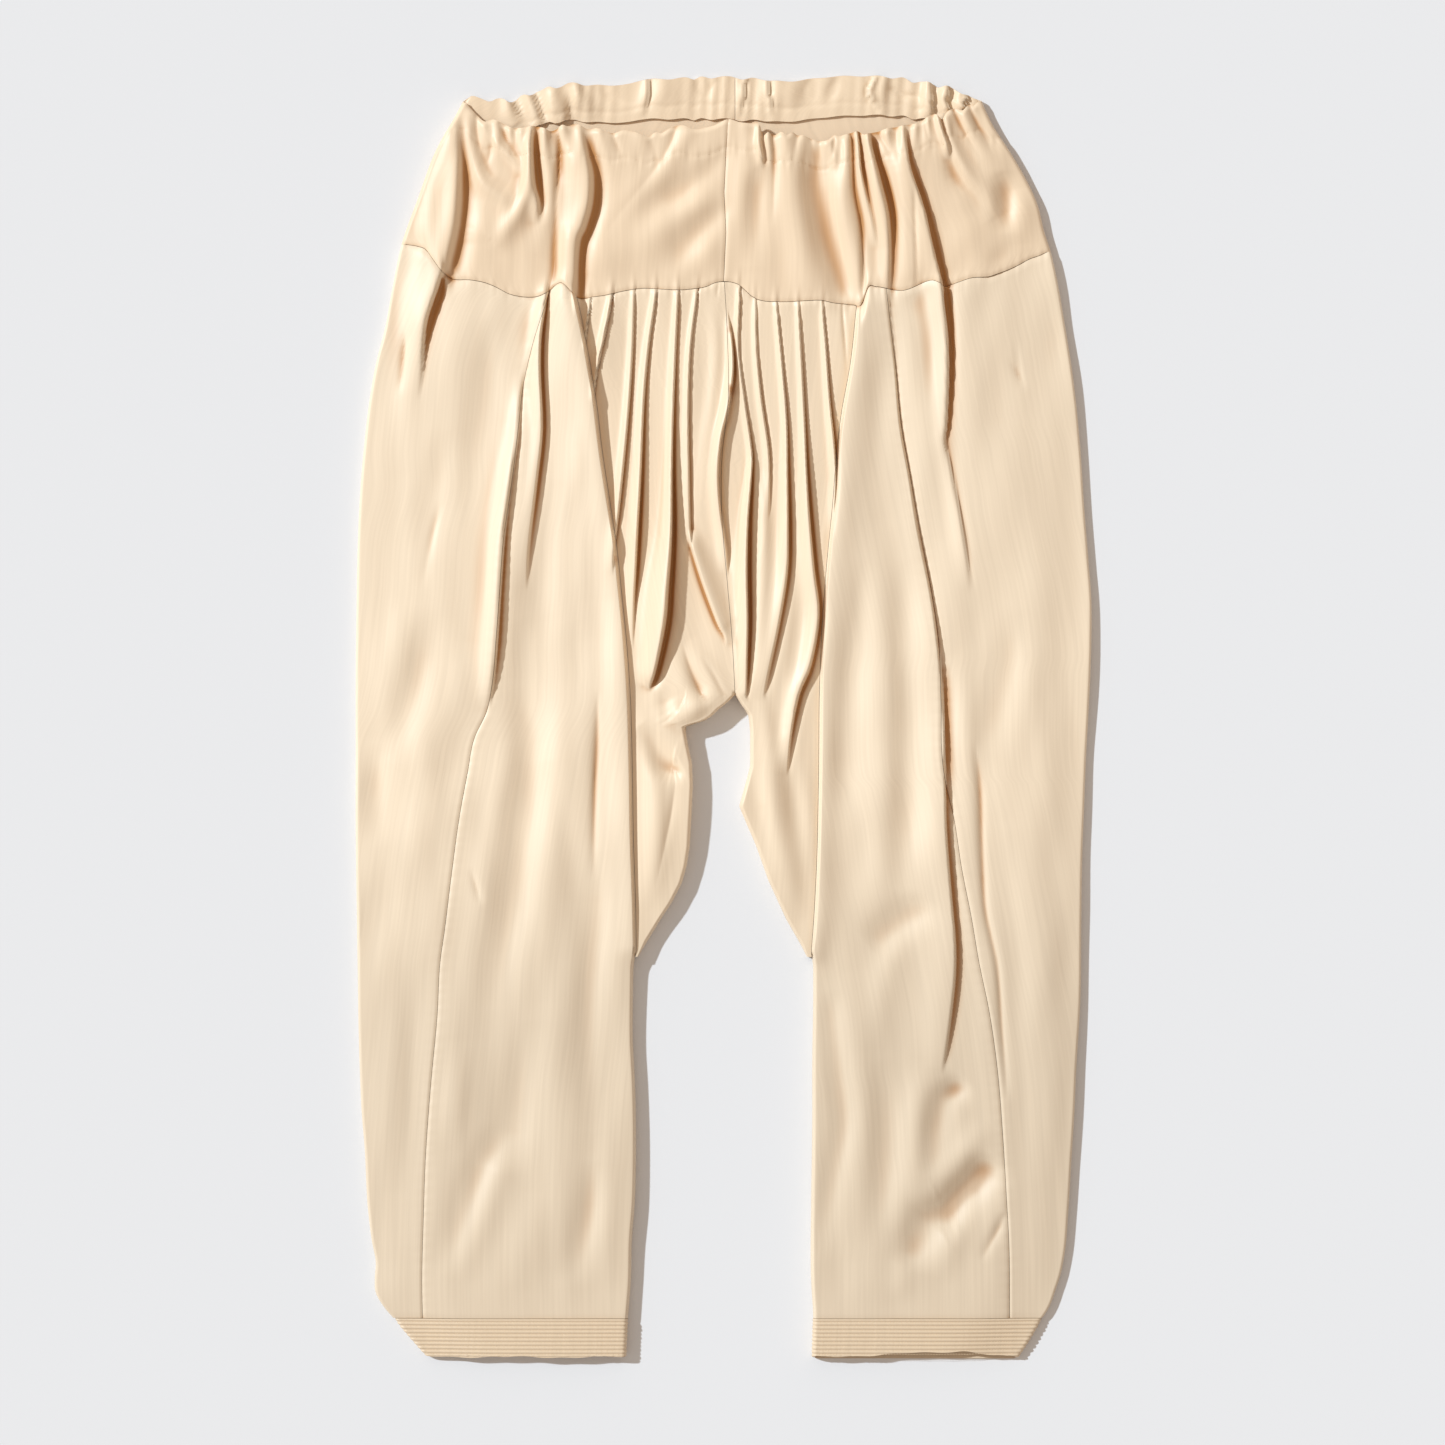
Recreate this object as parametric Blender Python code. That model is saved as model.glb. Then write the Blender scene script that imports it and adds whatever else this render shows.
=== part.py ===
# Patiala salwar laid flat on a table, front up, made from its cut pieces.
# The belt is two halves, each folded round the hip, with a waist casing inside its top.
# Each leg has a side panel folded round the outer edge, a front and a back leg panel,
# pleated front and back gussets between the legs, and a quilted hem band.
# All sizes are in millimetres and become metres when a mesh is made.
# X runs to the right of the photo, Y towards the waist, Z up from the table.

import bpy
import numpy as np

MM = 0.001

# Main sizes
LENGTH = 960.0
TOP = LENGTH / 2
CLOTH = 1.5
BELT_CLOTH = 1.2
HEM_CLOTH = 2.4
SEAM_GAP = 0.3
BELT_SEAM_GAP = 0.4
CASING_GAP = 0.5

# Heights of the middle of the cloth above the table
WAIST_HEIGHT = 12.5
SEAM_HEIGHT = 11.0
LEG_HEIGHT = 10.0
HEM_HEIGHT = 9.4
GUSSET_HEIGHT = 10.0
CROTCH_RISE = 4.0
INNER_EDGE_HEIGHT = 6.5
LEG_INNER_SEAM_HEIGHT = 5.2
WING_RISE = 3.5
WING_REACH = 14.0

# Folded edges
WING_DROP_WIDTH = 3.5
INNER_ROUND = 5.0
FOLD_ANGLES = (66.0, 34.0, 0.0, -34.0, -66.0)
INNER_ANGLES = (60.0, 30.0, 0.0)

# Pleats of the gussets, their height where they are deepest, at the belt and at the crotch
PLEAT_HEIGHT = 5.0
PLEAT_AT_BELT = 2.2
PLEAT_AT_CROTCH = 2.4
PLEAT_FOOT = 1.6
BACK_PLEAT_HEIGHT = 1.6
BACK_FOLD_HEIGHT = 1.2

SATIN = (0.86, 0.73, 0.54)
BELT_SATIN = (0.84, 0.70, 0.50)
CASING_SATIN = (0.80, 0.66, 0.46)
GUSSET_SATIN = (0.83, 0.69, 0.49)
HEM_SATIN = (0.85, 0.72, 0.53)


def table(columns, rows):
    """Turn rows of numbers into one array for each named column."""
    values = np.array(rows, dtype=float).T
    return dict(zip(columns, values))


# How far down from the back waist, and where each line of the legs lies across.
LEGS = table(
    ("down", "left_outer", "left_seam", "left_wing", "right_wing", "right_gap", "right_seam", "right_outer"),
    [
        (163, -244, -131, -113, 102, 120, 124, 248),
        (190, -254, -140, -107, 101, 122, 126, 256),
        (230, -263, -149, -100, 96, 126, 130, 262),
        (280, -269, -155, -93, 88, 132, 136, 268),
        (330, -272.5, -162, -86, 84, 139, 143, 271),
        (380, -274, -166, -79, 79, 149, 153, 274.5),
        (430, -275, -170, -74, 77, 154, 159, 275.5),
        (463, -275.5, -174, -73, 75, 156, 161, 275),
        (500, -275.5, -187, -71, 74.5, 159, 165, 273),
        (540, -275.5, -195, -70, 74, 162, 170, 271),
        (580, -275, -201, -70, 73, 164, 177, 269.5),
        (620, -274.5, -206, -69, 71.4, 166, 184, 269),
        (652, -273.5, -210, -68, 69.6, 167, 190, 268.5),
        (710, -272.5, -215, -67.5, 67, 165, 200, 267),
        (780, -270, -220, -65.5, 67, 160, 209, 263),
        (850, -266, -224, -66, 66.5, 157, 213, 258),
        (900, -260.5, -225, -69, 66, 155, 214, 251),
        (930, -247, -225, -71.5, 67.5, 153, 214.5, 239),
    ],
)

# The inner edges of the gussets below the crotch.
CROTCH = table(
    ("down", "left_inner", "right_inner"),
    [
        (463, 9, 9),
        (473, -2, 14.5),
        (484, -21, 19),
        (500, -26, 19.5),
        (518, -23.5, 19.5),
        (540, -23, 12.5),
        (556, -23.5, 15.5),
        (580, -26, 25.5),
        (604, -31, 34),
        (628, -45, 45.5),
        (650, -58.5, 58),
    ],
)

# The centre-front line of the gussets, from the belt to the crotch.
CENTRE = table(
    ("down", "across"),
    [(150, 1.5), (230, 6), (300, 1), (345, 1), (400, 6), (463, 9)],
)

# The seam under the belt, across the front and, plainer, across the back.
BELT_SEAM = table(
    ("across", "down", "back_down"),
    [
        (-246, 124, 124), (-205, 146, 130), (-160, 160, 136.4), (-115, 162, 142.8), (-70, 162, 149.2),
        (-25, 160, 155.6), (10, 160.5, 160.5), (50, 166, 155.2), (90, 168, 150), (130, 163, 144.7),
        (170, 155, 139.4), (210, 145, 134.2), (249, 129, 129),
    ],
)

# The top edges of the waist, front and back, from the left fold to the right fold.
WAIST_FRONT = table(
    ("across", "down"),
    [
        (-193, 26), (-178, 33), (-160, 37), (-135, 40), (-112, 37), (-90, 41), (-62, 43), (-35, 38),
        (-12, 38), (4, 33), (24, 37), (40, 44), (72, 48), (96, 43), (125, 40), (150, 33), (172, 27),
        (188, 21), (198, 22),
    ],
)
WAIST_BACK = table(
    ("across", "down"),
    [
        (-193, 14), (-175, 17), (-150, 13), (-120, 6), (-80, 5), (-40, 1), (0, 0), (40, 2), (90, 0),
        (130, 1), (158, 6), (180, 12), (198, 19),
    ],
)
BELT_SIDES = table(
    ("down", "left", "right"),
    [(0, -186, 190), (14, -192, 196), (30, -201, 203), (54, -214, 214), (75, -222, 226), (100, -232, 236),
     (129, -245, 249)],
)
CENTRE_FRONT = 3.0
CENTRE_BACK = 9.0

# Gathers of the belt: where each crest lies at the waist and at the belt seam, and how high it is.
GATHERS = ("top_across", "low_across", "top_height", "low_height")
LEFT_GATHERS = table(
    GATHERS,
    [
        (-6, -6, 1.6, 0.5), (-18, -20, 2.0, 0.6), (-33, -36, 1.6, 0.6), (-47, -52, 2.4, 0.6),
        (-61, -66, 2.0, 0.6), (-74, -79, 2.6, 0.8), (-89, -93, 2.0, 1.0), (-104, -109, 5.0, 4.5),
        (-121, -125, 4.5, 3.5), (-134, -138, 4.0, 2.5), (-147, -153, 3.2, 1.5), (-160, -168, 3.6, 1.5),
        (-173, -184, 4.0, 1.8), (-185, -205, 4.0, 2.0),
    ],
)
RIGHT_GATHERS = table(
    GATHERS,
    [
        (16, 19, 3.0, 0.8), (34, 38, 4.0, 1.2), (50, 55, 3.0, 1.2), (64, 71, 3.0, 1.5), (80, 88, 3.0, 2.2),
        (94, 104, 5.0, 4.0), (104, 114, 4.0, 3.0), (115, 125, 4.0, 2.5), (126, 136, 3.4, 2.0),
        (138, 154, 5.0, 4.0), (151, 172, 3.8, 2.4), (164, 188, 3.8, 1.8), (177, 206, 3.4, 1.5),
        (189, 223, 3.4, 1.8),
    ],
)
BACK_GATHERS_EACH_SIDE = 7
BACK_GATHER_HEIGHT = 1.3

# Pleat lines of the gussets, as shares of the width from the leg panel's edge to the centre.
PLEATS = ("at_belt", "at_middle", "at_crotch", "height")
LEFT_PLEATS = table(
    PLEATS,
    [
        (0.13, 0.05, 0.05, 0.5), (0.27, 0.11, 0.10, 0.7), (0.42, 0.19, 0.16, 0.9), (0.56, 0.33, 0.24, 1.0),
        (0.70, 0.54, 0.36, 1.1), (0.84, 0.74, 0.62, 1.1),
    ],
)
RIGHT_PLEATS = table(
    PLEATS,
    [
        (0.12, 0.06, 0.08, 0.6), (0.27, 0.17, 0.20, 0.9), (0.44, 0.30, 0.35, 1.0), (0.61, 0.45, 0.52, 1.1),
        (0.76, 0.61, 0.68, 1.1), (0.88, 0.78, 0.84, 1.0),
    ],
)
PLEAT_MIDDLE = 340.0

# Main folds of the legs: height above (or below) the cloth round it, half width, and three points.
FOLDS = table(
    ("height", "half", "x_top", "down_top", "x_mid", "down_mid", "x_low", "down_low"),
    [
        (-3.0, 7, -218, 140, -224, 177, -222, 210),
        (2.5, 9, -228, 190, -232, 251, -236, 310),
        (-2.0, 11, -216, 405, -235, 467, -252, 525),
        (3.0, 9, -160, 225, -169, 332, -180, 440),
        (-3.0, 10, -165, 755, -178, 812, -203, 885),
        (3.0, 9, -161, 790, -180, 849, -201, 905),
        (3.5, 12, -120, 175, -116, 279, -100, 410),
        (-3.0, 12, -148, 465, -146, 540, -167, 655),
        (3.0, 14, -130, 410, -122, 542, -134, 675),
        (-3.0, 6, -96, 495, -96, 535, -98, 590),
        (-2.0, 13, -106, 680, -100, 767, -112, 905),
        (2.2, 14, -146, 680, -134, 782, -146, 890),
        (3.5, 14, 112, 180, 118, 400, 116, 615),
        (-2.0, 9, 102, 245, 95, 392, 94, 525),
        (-3.0, 9, 150, 612, 133, 631, 113, 650),
        (-3.0, 8, 177, 745, 161, 768, 156, 815),
        (-4.0, 10, 202, 800, 173, 849, 138, 900),
        (3.0, 12, 180, 775, 155, 827, 127, 872),
        (-2.0, 8, 80, 690, 90, 783, 73, 875),
        (2.5, 11, 95, 680, 104, 782, 91, 900),
        (-2.5, 6, 194, 520, 206, 660, 222, 770),
        (-3.5, 8, 163, 150, 169, 223, 173, 310),
        (-2.0, 7, 174, 300, 181, 343, 186, 395),
        (3.0, 11, 181, 160, 189, 257, 197, 375),
        (2.0, 16, 230, 450, 234, 617, 230, 790),
        (-2.0, 13, 215, 410, 208, 467, 195, 525),
    ],
)
LEFT_SLIT = {"top": 165, "low": 470, "depth": 4.0, "half": 6.0}
RIGHT_SLIT = {"top": 155, "low": 745, "depth": 4.5, "half": 5.0}

# Hem bands: where their edges lie at the top and at the bottom, and how far down they reach.
HEMS = table(
    ("outer_top", "outer_low", "inner_top", "inner_low", "front_low", "back_low"),
    [(-246.5, -223, -71.6, -72.5, 958.2, 957.6), (238.5, 221, 67.6, 66.5, 958.0, 960.0)],
)


def through(xs, ys, at):
    """Smooth curve through a table's points, level beyond its ends."""
    xs = np.asarray(xs, dtype=float)
    ys = np.asarray(ys, dtype=float)
    slope = np.gradient(ys, xs)
    at = np.clip(np.asarray(at, dtype=float), xs[0], xs[-1])
    i = np.clip(np.searchsorted(xs, at) - 1, 0, len(xs) - 2)
    step = xs[i + 1] - xs[i]
    t = (at - xs[i]) / step
    start = (1 + 2 * t) * (1 - t) ** 2 * ys[i] + t * (1 - t) ** 2 * step * slope[i]
    end = t * t * (3 - 2 * t) * ys[i + 1] + t * t * (t - 1) * step * slope[i + 1]
    return start + end


def leg_line(name, down):
    return through(LEGS["down"], LEGS[name], down)


def seam_down(across, face="down"):
    """How far down the seam under the belt lies, on the front or with back_down on the back."""
    return through(BELT_SEAM["across"], BELT_SEAM[face], across)


def ramp(value, start, end):
    """Goes smoothly from 0 at start to 1 at end."""
    t = np.clip((np.asarray(value, dtype=float) - start) / (end - start), 0, 1)
    return t * t * (3 - 2 * t)


def spread(start, end, count):
    """Evenly spaced places from start to end for each row, both ends kept."""
    share = np.linspace(0, 1, count)
    return start[:, None] + (end - start)[:, None] * share[None, :]


def fold_relief(x, down):
    """Sum of the main folds: each is a bell across its line, fading in and out along it."""
    relief = np.zeros_like(x)
    for i in range(len(FOLDS["height"])):
        row = {key: column[i] for key, column in FOLDS.items()}
        points = (row["down_top"], row["down_mid"], row["down_low"])
        line = np.interp(down, points, (row["x_top"], row["x_mid"], row["x_low"]))
        reach = (row["down_low"] - row["down_top"]) * 0.3
        fade = ramp(down, row["down_top"], row["down_top"] + reach)
        fade = fade * (1 - ramp(down, row["down_low"] - reach, row["down_low"]))
        relief = relief + row["height"] * fade * np.exp(-((x - line) / row["half"]) ** 2)
    return relief


def slit_relief(x, down, line, slit):
    """Narrow deep fold that follows a seam, between its top and its low end."""
    fade = ramp(down, slit["top"] - 10, slit["top"] + 30) * (1 - ramp(down, slit["low"] - 60, slit["low"]))
    return -slit["depth"] * fade * np.exp(-((x - line) / slit["half"]) ** 2)


def leg_height(x, down, side):
    """Middle of the front cloth of one leg, outside the gussets."""
    base = LEG_HEIGHT + (SEAM_HEIGHT - LEG_HEIGHT) * (1 - ramp(down, 150, 260))
    base = base + (HEM_HEIGHT - LEG_HEIGHT) * ramp(down, 820, 925)
    wing = leg_line(side + "_wing", down)
    fade = 1 - ramp(down, 600, 760)
    rise = WING_RISE * fade * np.exp(-((x - wing) / WING_REACH) ** 2)
    line = leg_line("left_seam", down) if side == "left" else leg_line("right_gap", down)
    slit = slit_relief(x, down, line, LEFT_SLIT if side == "left" else RIGHT_SLIT)
    near_hem = 1 - ramp(down, 880, 925)
    return base + rise + (fold_relief(x, down) + slit) * near_hem


def gusset_base(down):
    return GUSSET_HEIGHT + CROTCH_RISE * ramp(down, 330, 480) * (1 - ramp(down, 540, 640))


def wall(name, x, down, z, thickness, colour, turned=False, ring=False, shift=0.0):
    """Closed wall of cloth through rows of sections, half its thickness to each side of them.

    Each row is moved out only across and up, so it keeps its place along the leg. The
    ends of a row move straight up and down, where another piece joins them flat, and the
    last end moves straight across in the rows that are turned down to an inner seam.
    """
    rows, columns = x.shape
    if ring:
        before_x, before_z = np.roll(x, 1, 1), np.roll(z, 1, 1)
        after_x, after_z = np.roll(x, -1, 1), np.roll(z, -1, 1)
    else:
        before_x = np.column_stack((x[:, :1], x[:, :-1]))
        before_z = np.column_stack((z[:, :1], z[:, :-1]))
        after_x = np.column_stack((x[:, 1:], x[:, -1:]))
        after_z = np.column_stack((z[:, 1:], z[:, -1:]))
    first = np.stack((x - before_x, z - before_z), -1)
    second = np.stack((after_x - x, after_z - z), -1)
    first_length = np.linalg.norm(first, axis=-1, keepdims=True)
    second_length = np.linalg.norm(second, axis=-1, keepdims=True)
    first_unit = first / np.maximum(first_length, 1e-9)
    second_unit = second / np.maximum(second_length, 1e-9)
    first = np.where(first_length > 0, first_unit, second_unit)
    second = np.where(second_length > 0, second_unit, first_unit)
    along = first + second
    along = along / np.maximum(np.linalg.norm(along, axis=-1, keepdims=True), 1e-9)
    square = np.stack((-along[..., 1], along[..., 0]), -1)
    bend = np.clip(np.sum(along * second, -1, keepdims=True), 0.75, 1)
    square = square / bend
    if not ring:
        turned = np.broadcast_to(turned, rows)
        for column in (0, -1):
            up, out = np.sign(square[:, column, 1]), np.sign(square[:, column, 0])
            across = turned & (column == -1)
            square[:, column, 0] = np.where(across, out, 0)
            square[:, column, 1] = np.where(across, 0, up)
    one, other = shift + thickness / 2, shift - thickness / 2
    over = np.stack((x + one * square[..., 0], TOP - down, z + one * square[..., 1]), -1)
    under = np.stack((x + other * square[..., 0], TOP - down, z + other * square[..., 1]), -1)
    over[..., 2] = np.maximum(over[..., 2], 0)
    under[..., 2] = np.maximum(under[..., 2], 0)
    points = np.concatenate((over.reshape(-1, 3), under.reshape(-1, 3)))
    count = rows * columns
    faces = []
    last = columns if ring else columns - 1
    for row in range(rows - 1):
        for column in range(last):
            a = row * columns + column
            b = row * columns + (column + 1) % columns
            c, d = b + columns, a + columns
            faces.append((a, b, c))
            faces.append((a, c, d))
            faces.append((count + a, count + c, count + b))
            faces.append((count + a, count + d, count + c))
    for column in range(last):
        a, b = column, (column + 1) % columns
        faces.extend([(a, count + b, b), (a, count + a, count + b)])
        a, b = a + (rows - 1) * columns, b + (rows - 1) * columns
        faces.extend([(a, b, count + b), (a, count + b, count + a)])
    if not ring:
        for row in range(rows - 1):
            a, b = row * columns, (row + 1) * columns
            faces.extend([(a, b, count + b), (a, count + b, count + a)])
            a, b = a + columns - 1, b + columns - 1
            faces.extend([(a, count + b, b), (a, count + a, count + b)])
    faces = np.array(faces)
    corner = points[faces]
    volume = np.sum(corner[:, 0] * np.cross(corner[:, 1], corner[:, 2])) / 6
    if volume < 0:
        faces = faces[:, ::-1]
    mesh = bpy.data.meshes.new(name)
    mesh.from_pydata((points * MM).tolist(), [], faces.tolist())
    mesh.update()
    node = bpy.data.objects.new(name, mesh)
    bpy.context.scene.collection.objects.link(node)
    material = bpy.data.materials.new(name + "_satin")
    material.use_nodes = True
    shader = material.node_tree.nodes["Principled BSDF"]
    shader.inputs["Base Color"].default_value = (*colour, 1)
    shader.inputs["Roughness"].default_value = 0.5
    shader.inputs["Metallic"].default_value = 0.0
    mesh.materials.append(material)
    return node


def outer_fold(edge, top, low, sign):
    """Half round from the front cloth to the back cloth, at the edge of the leg or hip."""
    radius = (top - low) / 2
    turn = np.radians(FOLD_ANGLES)
    x = (edge - sign * radius)[:, None] + sign * radius[:, None] * np.cos(turn)
    z = ((top + low) / 2)[:, None] + radius[:, None] * np.sin(turn)
    return x, z, radius


def belt_seam_row(x, down, first_back):
    """The first row of a leg piece follows the seam under the belt, the back one from first_back on."""
    down = down.copy()
    down[0, :first_back] = seam_down(x[0, :first_back]) + BELT_SEAM_GAP / 2
    down[0, first_back:] = seam_down(x[0, first_back:], "back_down") + BELT_SEAM_GAP / 2
    return down


ROWS = np.array([163, 190, 230, 280, 330, 380, 430, 463, 484, 518, 556, 604, 650, 656, 710, 780, 850, 900, 929.6])
FRONT_GUSSET_ROWS = np.array([163, 190, 230, 280, 330, 380, 430, 462.6, 473, 484, 500, 518, 537, 556, 580, 604, 650])
BACK_GUSSET_ROWS = np.array([163, 190, 230, 280, 330, 380, 430, 462.6, 473, 484, 518, 556, 604, 650])
BELT_ROWS = np.linspace(0, 1, 6) ** 1.15


def side_panel(side):
    """From the front seam round the outer edge to the back seam."""
    sign = -1 if side == "left" else 1
    rows = ROWS
    seam = leg_line(side + "_seam", rows) + sign * SEAM_GAP / 2
    outer = leg_line(side + "_outer", rows) - sign * CLOTH / 2
    low = np.full(len(rows), CLOTH / 2)
    start = outer - sign * 7.0
    front_x = spread(seam, start, 7)
    down = np.repeat(rows[:, None], 7, axis=1)
    front_z = leg_height(front_x, down, side)
    fold_x, fold_z, radius = outer_fold(outer, front_z[:, -1], low, sign)
    front_x = spread(seam, outer - sign * radius, 7)
    back_x = spread(outer - sign * radius, seam, 4)
    back_z = np.full_like(back_x, CLOTH / 2)
    back_z[:, 2] = back_z[:, 2] + BACK_FOLD_HEIGHT
    x = np.column_stack((front_x, fold_x, back_x))
    z = np.column_stack((front_z, fold_z, back_z))
    down = np.repeat(rows[:, None], x.shape[1], axis=1)
    return wall("side_panel_" + side, x, belt_seam_row(x, down, 7), z, CLOTH, SATIN)


def leg_panel(side):
    """Front of the leg from the side seam to the gusset, or round the inner edge lower down."""
    sign = 1 if side == "left" else -1
    rows = ROWS
    seam = leg_line(side + "_seam", rows) + sign * SEAM_GAP / 2
    wing = leg_line(side + "_wing", rows)
    below = rows > 653
    crest = np.where(below, wing - sign * (CLOTH / 2 + INNER_ROUND), wing - sign * 1.0)
    if side == "left":
        x = spread(seam, crest, 11)
    else:
        gap = leg_line("right_gap", rows)
        x = np.column_stack((spread(seam, gap, 4), spread(gap, crest, 10)[:, 1:]))
    down = np.repeat(rows[:, None], x.shape[1], axis=1)
    z = leg_height(x, down, side)
    foot = gusset_base(rows)
    top = z[:, -1]
    drop = top - foot
    edge_x = np.column_stack((wing + sign * 0.3, wing + sign * 1.8, wing + sign * WING_DROP_WIDTH))
    edge_z = np.column_stack((top - 0.2 * drop, foot + 0.25 * drop, foot))
    turn = np.radians(INNER_ANGLES)
    middle = LEG_INNER_SEAM_HEIGHT
    round_x = crest[:, None] + sign * INNER_ROUND * np.cos(turn)
    round_z = middle + (top - middle)[:, None] * np.sin(turn)
    round_z[:, -1] = middle + SEAM_GAP / 2
    edge_x = np.where(below[:, None], round_x, edge_x)
    edge_z = np.where(below[:, None], round_z, edge_z)
    x = np.column_stack((x, edge_x))
    z = np.column_stack((z, edge_z))
    down = np.repeat(rows[:, None], x.shape[1], axis=1)
    return wall("leg_panel_front_" + side, x, belt_seam_row(x, down, x.shape[1]), z, CLOTH, SATIN, below)


def back_leg_panel(side):
    """Back of the leg, flat on the table, turned up to the inner seam below the gusset."""
    sign = 1 if side == "left" else -1
    rows = ROWS
    seam = leg_line(side + "_seam", rows) + sign * SEAM_GAP / 2
    wing = leg_line(side + "_wing", rows)
    below = rows > 653
    flat_end = wing + sign * (WING_DROP_WIDTH - SEAM_GAP)
    crest = np.where(below, wing - sign * (CLOTH / 2 + INNER_ROUND), flat_end - sign * 4.5)
    x = spread(seam, crest, 5)
    z = np.full_like(x, CLOTH / 2)
    z[:, 2] = z[:, 2] + BACK_FOLD_HEIGHT
    turn = np.radians(INNER_ANGLES)
    middle = LEG_INNER_SEAM_HEIGHT
    round_x = crest[:, None] + sign * INNER_ROUND * np.cos(turn)
    round_z = middle - (middle - CLOTH / 2) * np.sin(turn)[None, :] + 0 * crest[:, None]
    round_z[:, -1] = middle - SEAM_GAP / 2
    edge_x = np.column_stack((flat_end - sign * 3.0, flat_end - sign * 1.5, flat_end))
    edge_z = np.full_like(edge_x, CLOTH / 2)
    edge_x = np.where(below[:, None], round_x, edge_x)
    edge_z = np.where(below[:, None], round_z, edge_z)
    x = np.column_stack((x, edge_x))
    z = np.column_stack((z, edge_z))
    down = np.repeat(rows[:, None], x.shape[1], axis=1)
    return wall("leg_panel_back_" + side, x, belt_seam_row(x, down, 0), z, CLOTH, SATIN, below)


def gusset_ends(side, front):
    """Where a gusset starts at the leg panel and ends at the centre or at its inner edge."""
    sign = 1 if side == "left" else -1
    rows = FRONT_GUSSET_ROWS if front else BACK_GUSSET_ROWS
    start = leg_line(side + "_wing", rows) + sign * (WING_DROP_WIDTH + SEAM_GAP)
    if not front:
        start = leg_line(side + "_wing", rows) + sign * WING_DROP_WIDTH
    centre = through(CENTRE["down"], CENTRE["across"], rows) - sign * SEAM_GAP / 2
    inner = through(CROTCH["down"], CROTCH[side + "_inner"], rows) - sign * CLOTH / 2
    open_rows = rows > 463
    end = np.where(open_rows, inner, centre)
    width = np.abs(end - start)
    round_width = np.where(open_rows, np.minimum(INNER_ROUND, 0.35 * width), 4.0)
    return sign, rows, start, end, round_width, open_rows


def pleat_shares(pleats, rows):
    """Where each pleat line lies across the gusset at each row, as a share of its width."""
    points = (160.0, PLEAT_MIDDLE, 463.0)
    lines = []
    for i in range(len(pleats["at_belt"])):
        places = (pleats["at_belt"][i], pleats["at_middle"][i], pleats["at_crotch"][i])
        lines.append(np.interp(rows, points, places))
    return np.array(lines).T


def settle(places, width, full):
    """Keep pleat lines straight past the crotch, and bunch those that meet the inner edge."""
    held = 0.6 * width
    bunched = held + (places - held) * (width - held) / np.maximum(full - held, 1)
    return np.where(places < held, places, bunched)


def gusset(side, front):
    """Pleated gusset: each pleat climbs to its fold and drops behind it to the next one."""
    sign, rows, start, end, round_width, open_rows = gusset_ends(side, front)
    pleats = LEFT_PLEATS if side == "left" else RIGHT_PLEATS
    shares = pleat_shares(pleats, rows)
    inner_start = end - sign * round_width
    width = np.abs(inner_start - start)
    centre = through(CENTRE["down"], CENTRE["across"], rows)
    full = np.maximum(np.abs(centre - start) - round_width, width)
    grow = PLEAT_AT_BELT + (PLEAT_HEIGHT - PLEAT_AT_BELT) * ramp(rows, 160, 270)
    grow = grow + (PLEAT_AT_CROTCH - grow) * ramp(rows, 380, 500)
    grow = grow * (1 - 0.8 * ramp(rows, 560, 650))
    base = gusset_base(rows) if front else np.full(len(rows), CLOTH / 2)
    columns_x, columns_z = [start], [base]
    previous = np.zeros(len(rows))
    count = shares.shape[1]
    for i in range(count + 1):
        line = settle(shares[:, i] * full, width, full) / width if i < count else np.ones(len(rows))
        height = grow * (pleats["height"][i] if i < count else 0.4)
        if not front:
            height = height * BACK_PLEAT_HEIGHT / PLEAT_HEIGHT
        span = (line - previous) * width
        foot = np.minimum(PLEAT_FOOT, span * 0.3)
        height = np.minimum(height, span * 0.55)
        crest_x = start + sign * (line * width - foot * 0.5)
        middle_x = start + sign * ((previous * width) + span * 0.5)
        foot_x = start + sign * (line * width + foot * 0.5)
        columns_x.extend([middle_x, crest_x])
        columns_z.extend([base + height * 0.55, base + height])
        if i < count:
            columns_x.append(foot_x)
            columns_z.append(base)
        previous = line
    columns_x.pop()
    columns_z.pop()
    columns_x.append(inner_start)
    columns_z.append(base + (0.8 if front else 0.0))
    x = np.array(columns_x).T
    z = np.array(columns_z).T
    turn = np.radians(INNER_ANGLES)
    middle = np.where(rows > 600, INNER_EDGE_HEIGHT - 0.5, INNER_EDGE_HEIGHT + 2.0)
    if front:
        round_z = middle[:, None] + (z[:, -1] - middle)[:, None] * np.sin(turn)
        round_z[:, -1] = middle + SEAM_GAP / 2
    else:
        round_z = middle[:, None] - (middle - CLOTH / 2)[:, None] * np.sin(turn)
        round_z[:, -1] = middle - SEAM_GAP / 2
    round_x = inner_start[:, None] + sign * round_width[:, None] * np.cos(turn)
    flat_x = inner_start[:, None] + sign * round_width[:, None] * np.array([0.35, 0.7, 1.0])
    flat_z = np.repeat(z[:, -1:], 3, axis=1)
    edge_x = np.where(open_rows[:, None], round_x, flat_x)
    edge_z = np.where(open_rows[:, None], round_z, flat_z)
    x = np.column_stack((x, edge_x))
    z = np.column_stack((z, edge_z))
    down = np.repeat(rows[:, None], x.shape[1], axis=1)
    name = ("gusset_front_" if front else "gusset_back_") + side
    first_back = x.shape[1] if front else 0
    return wall(name, x, belt_seam_row(x, down, first_back), z, CLOTH, GUSSET_SATIN, open_rows)


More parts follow.
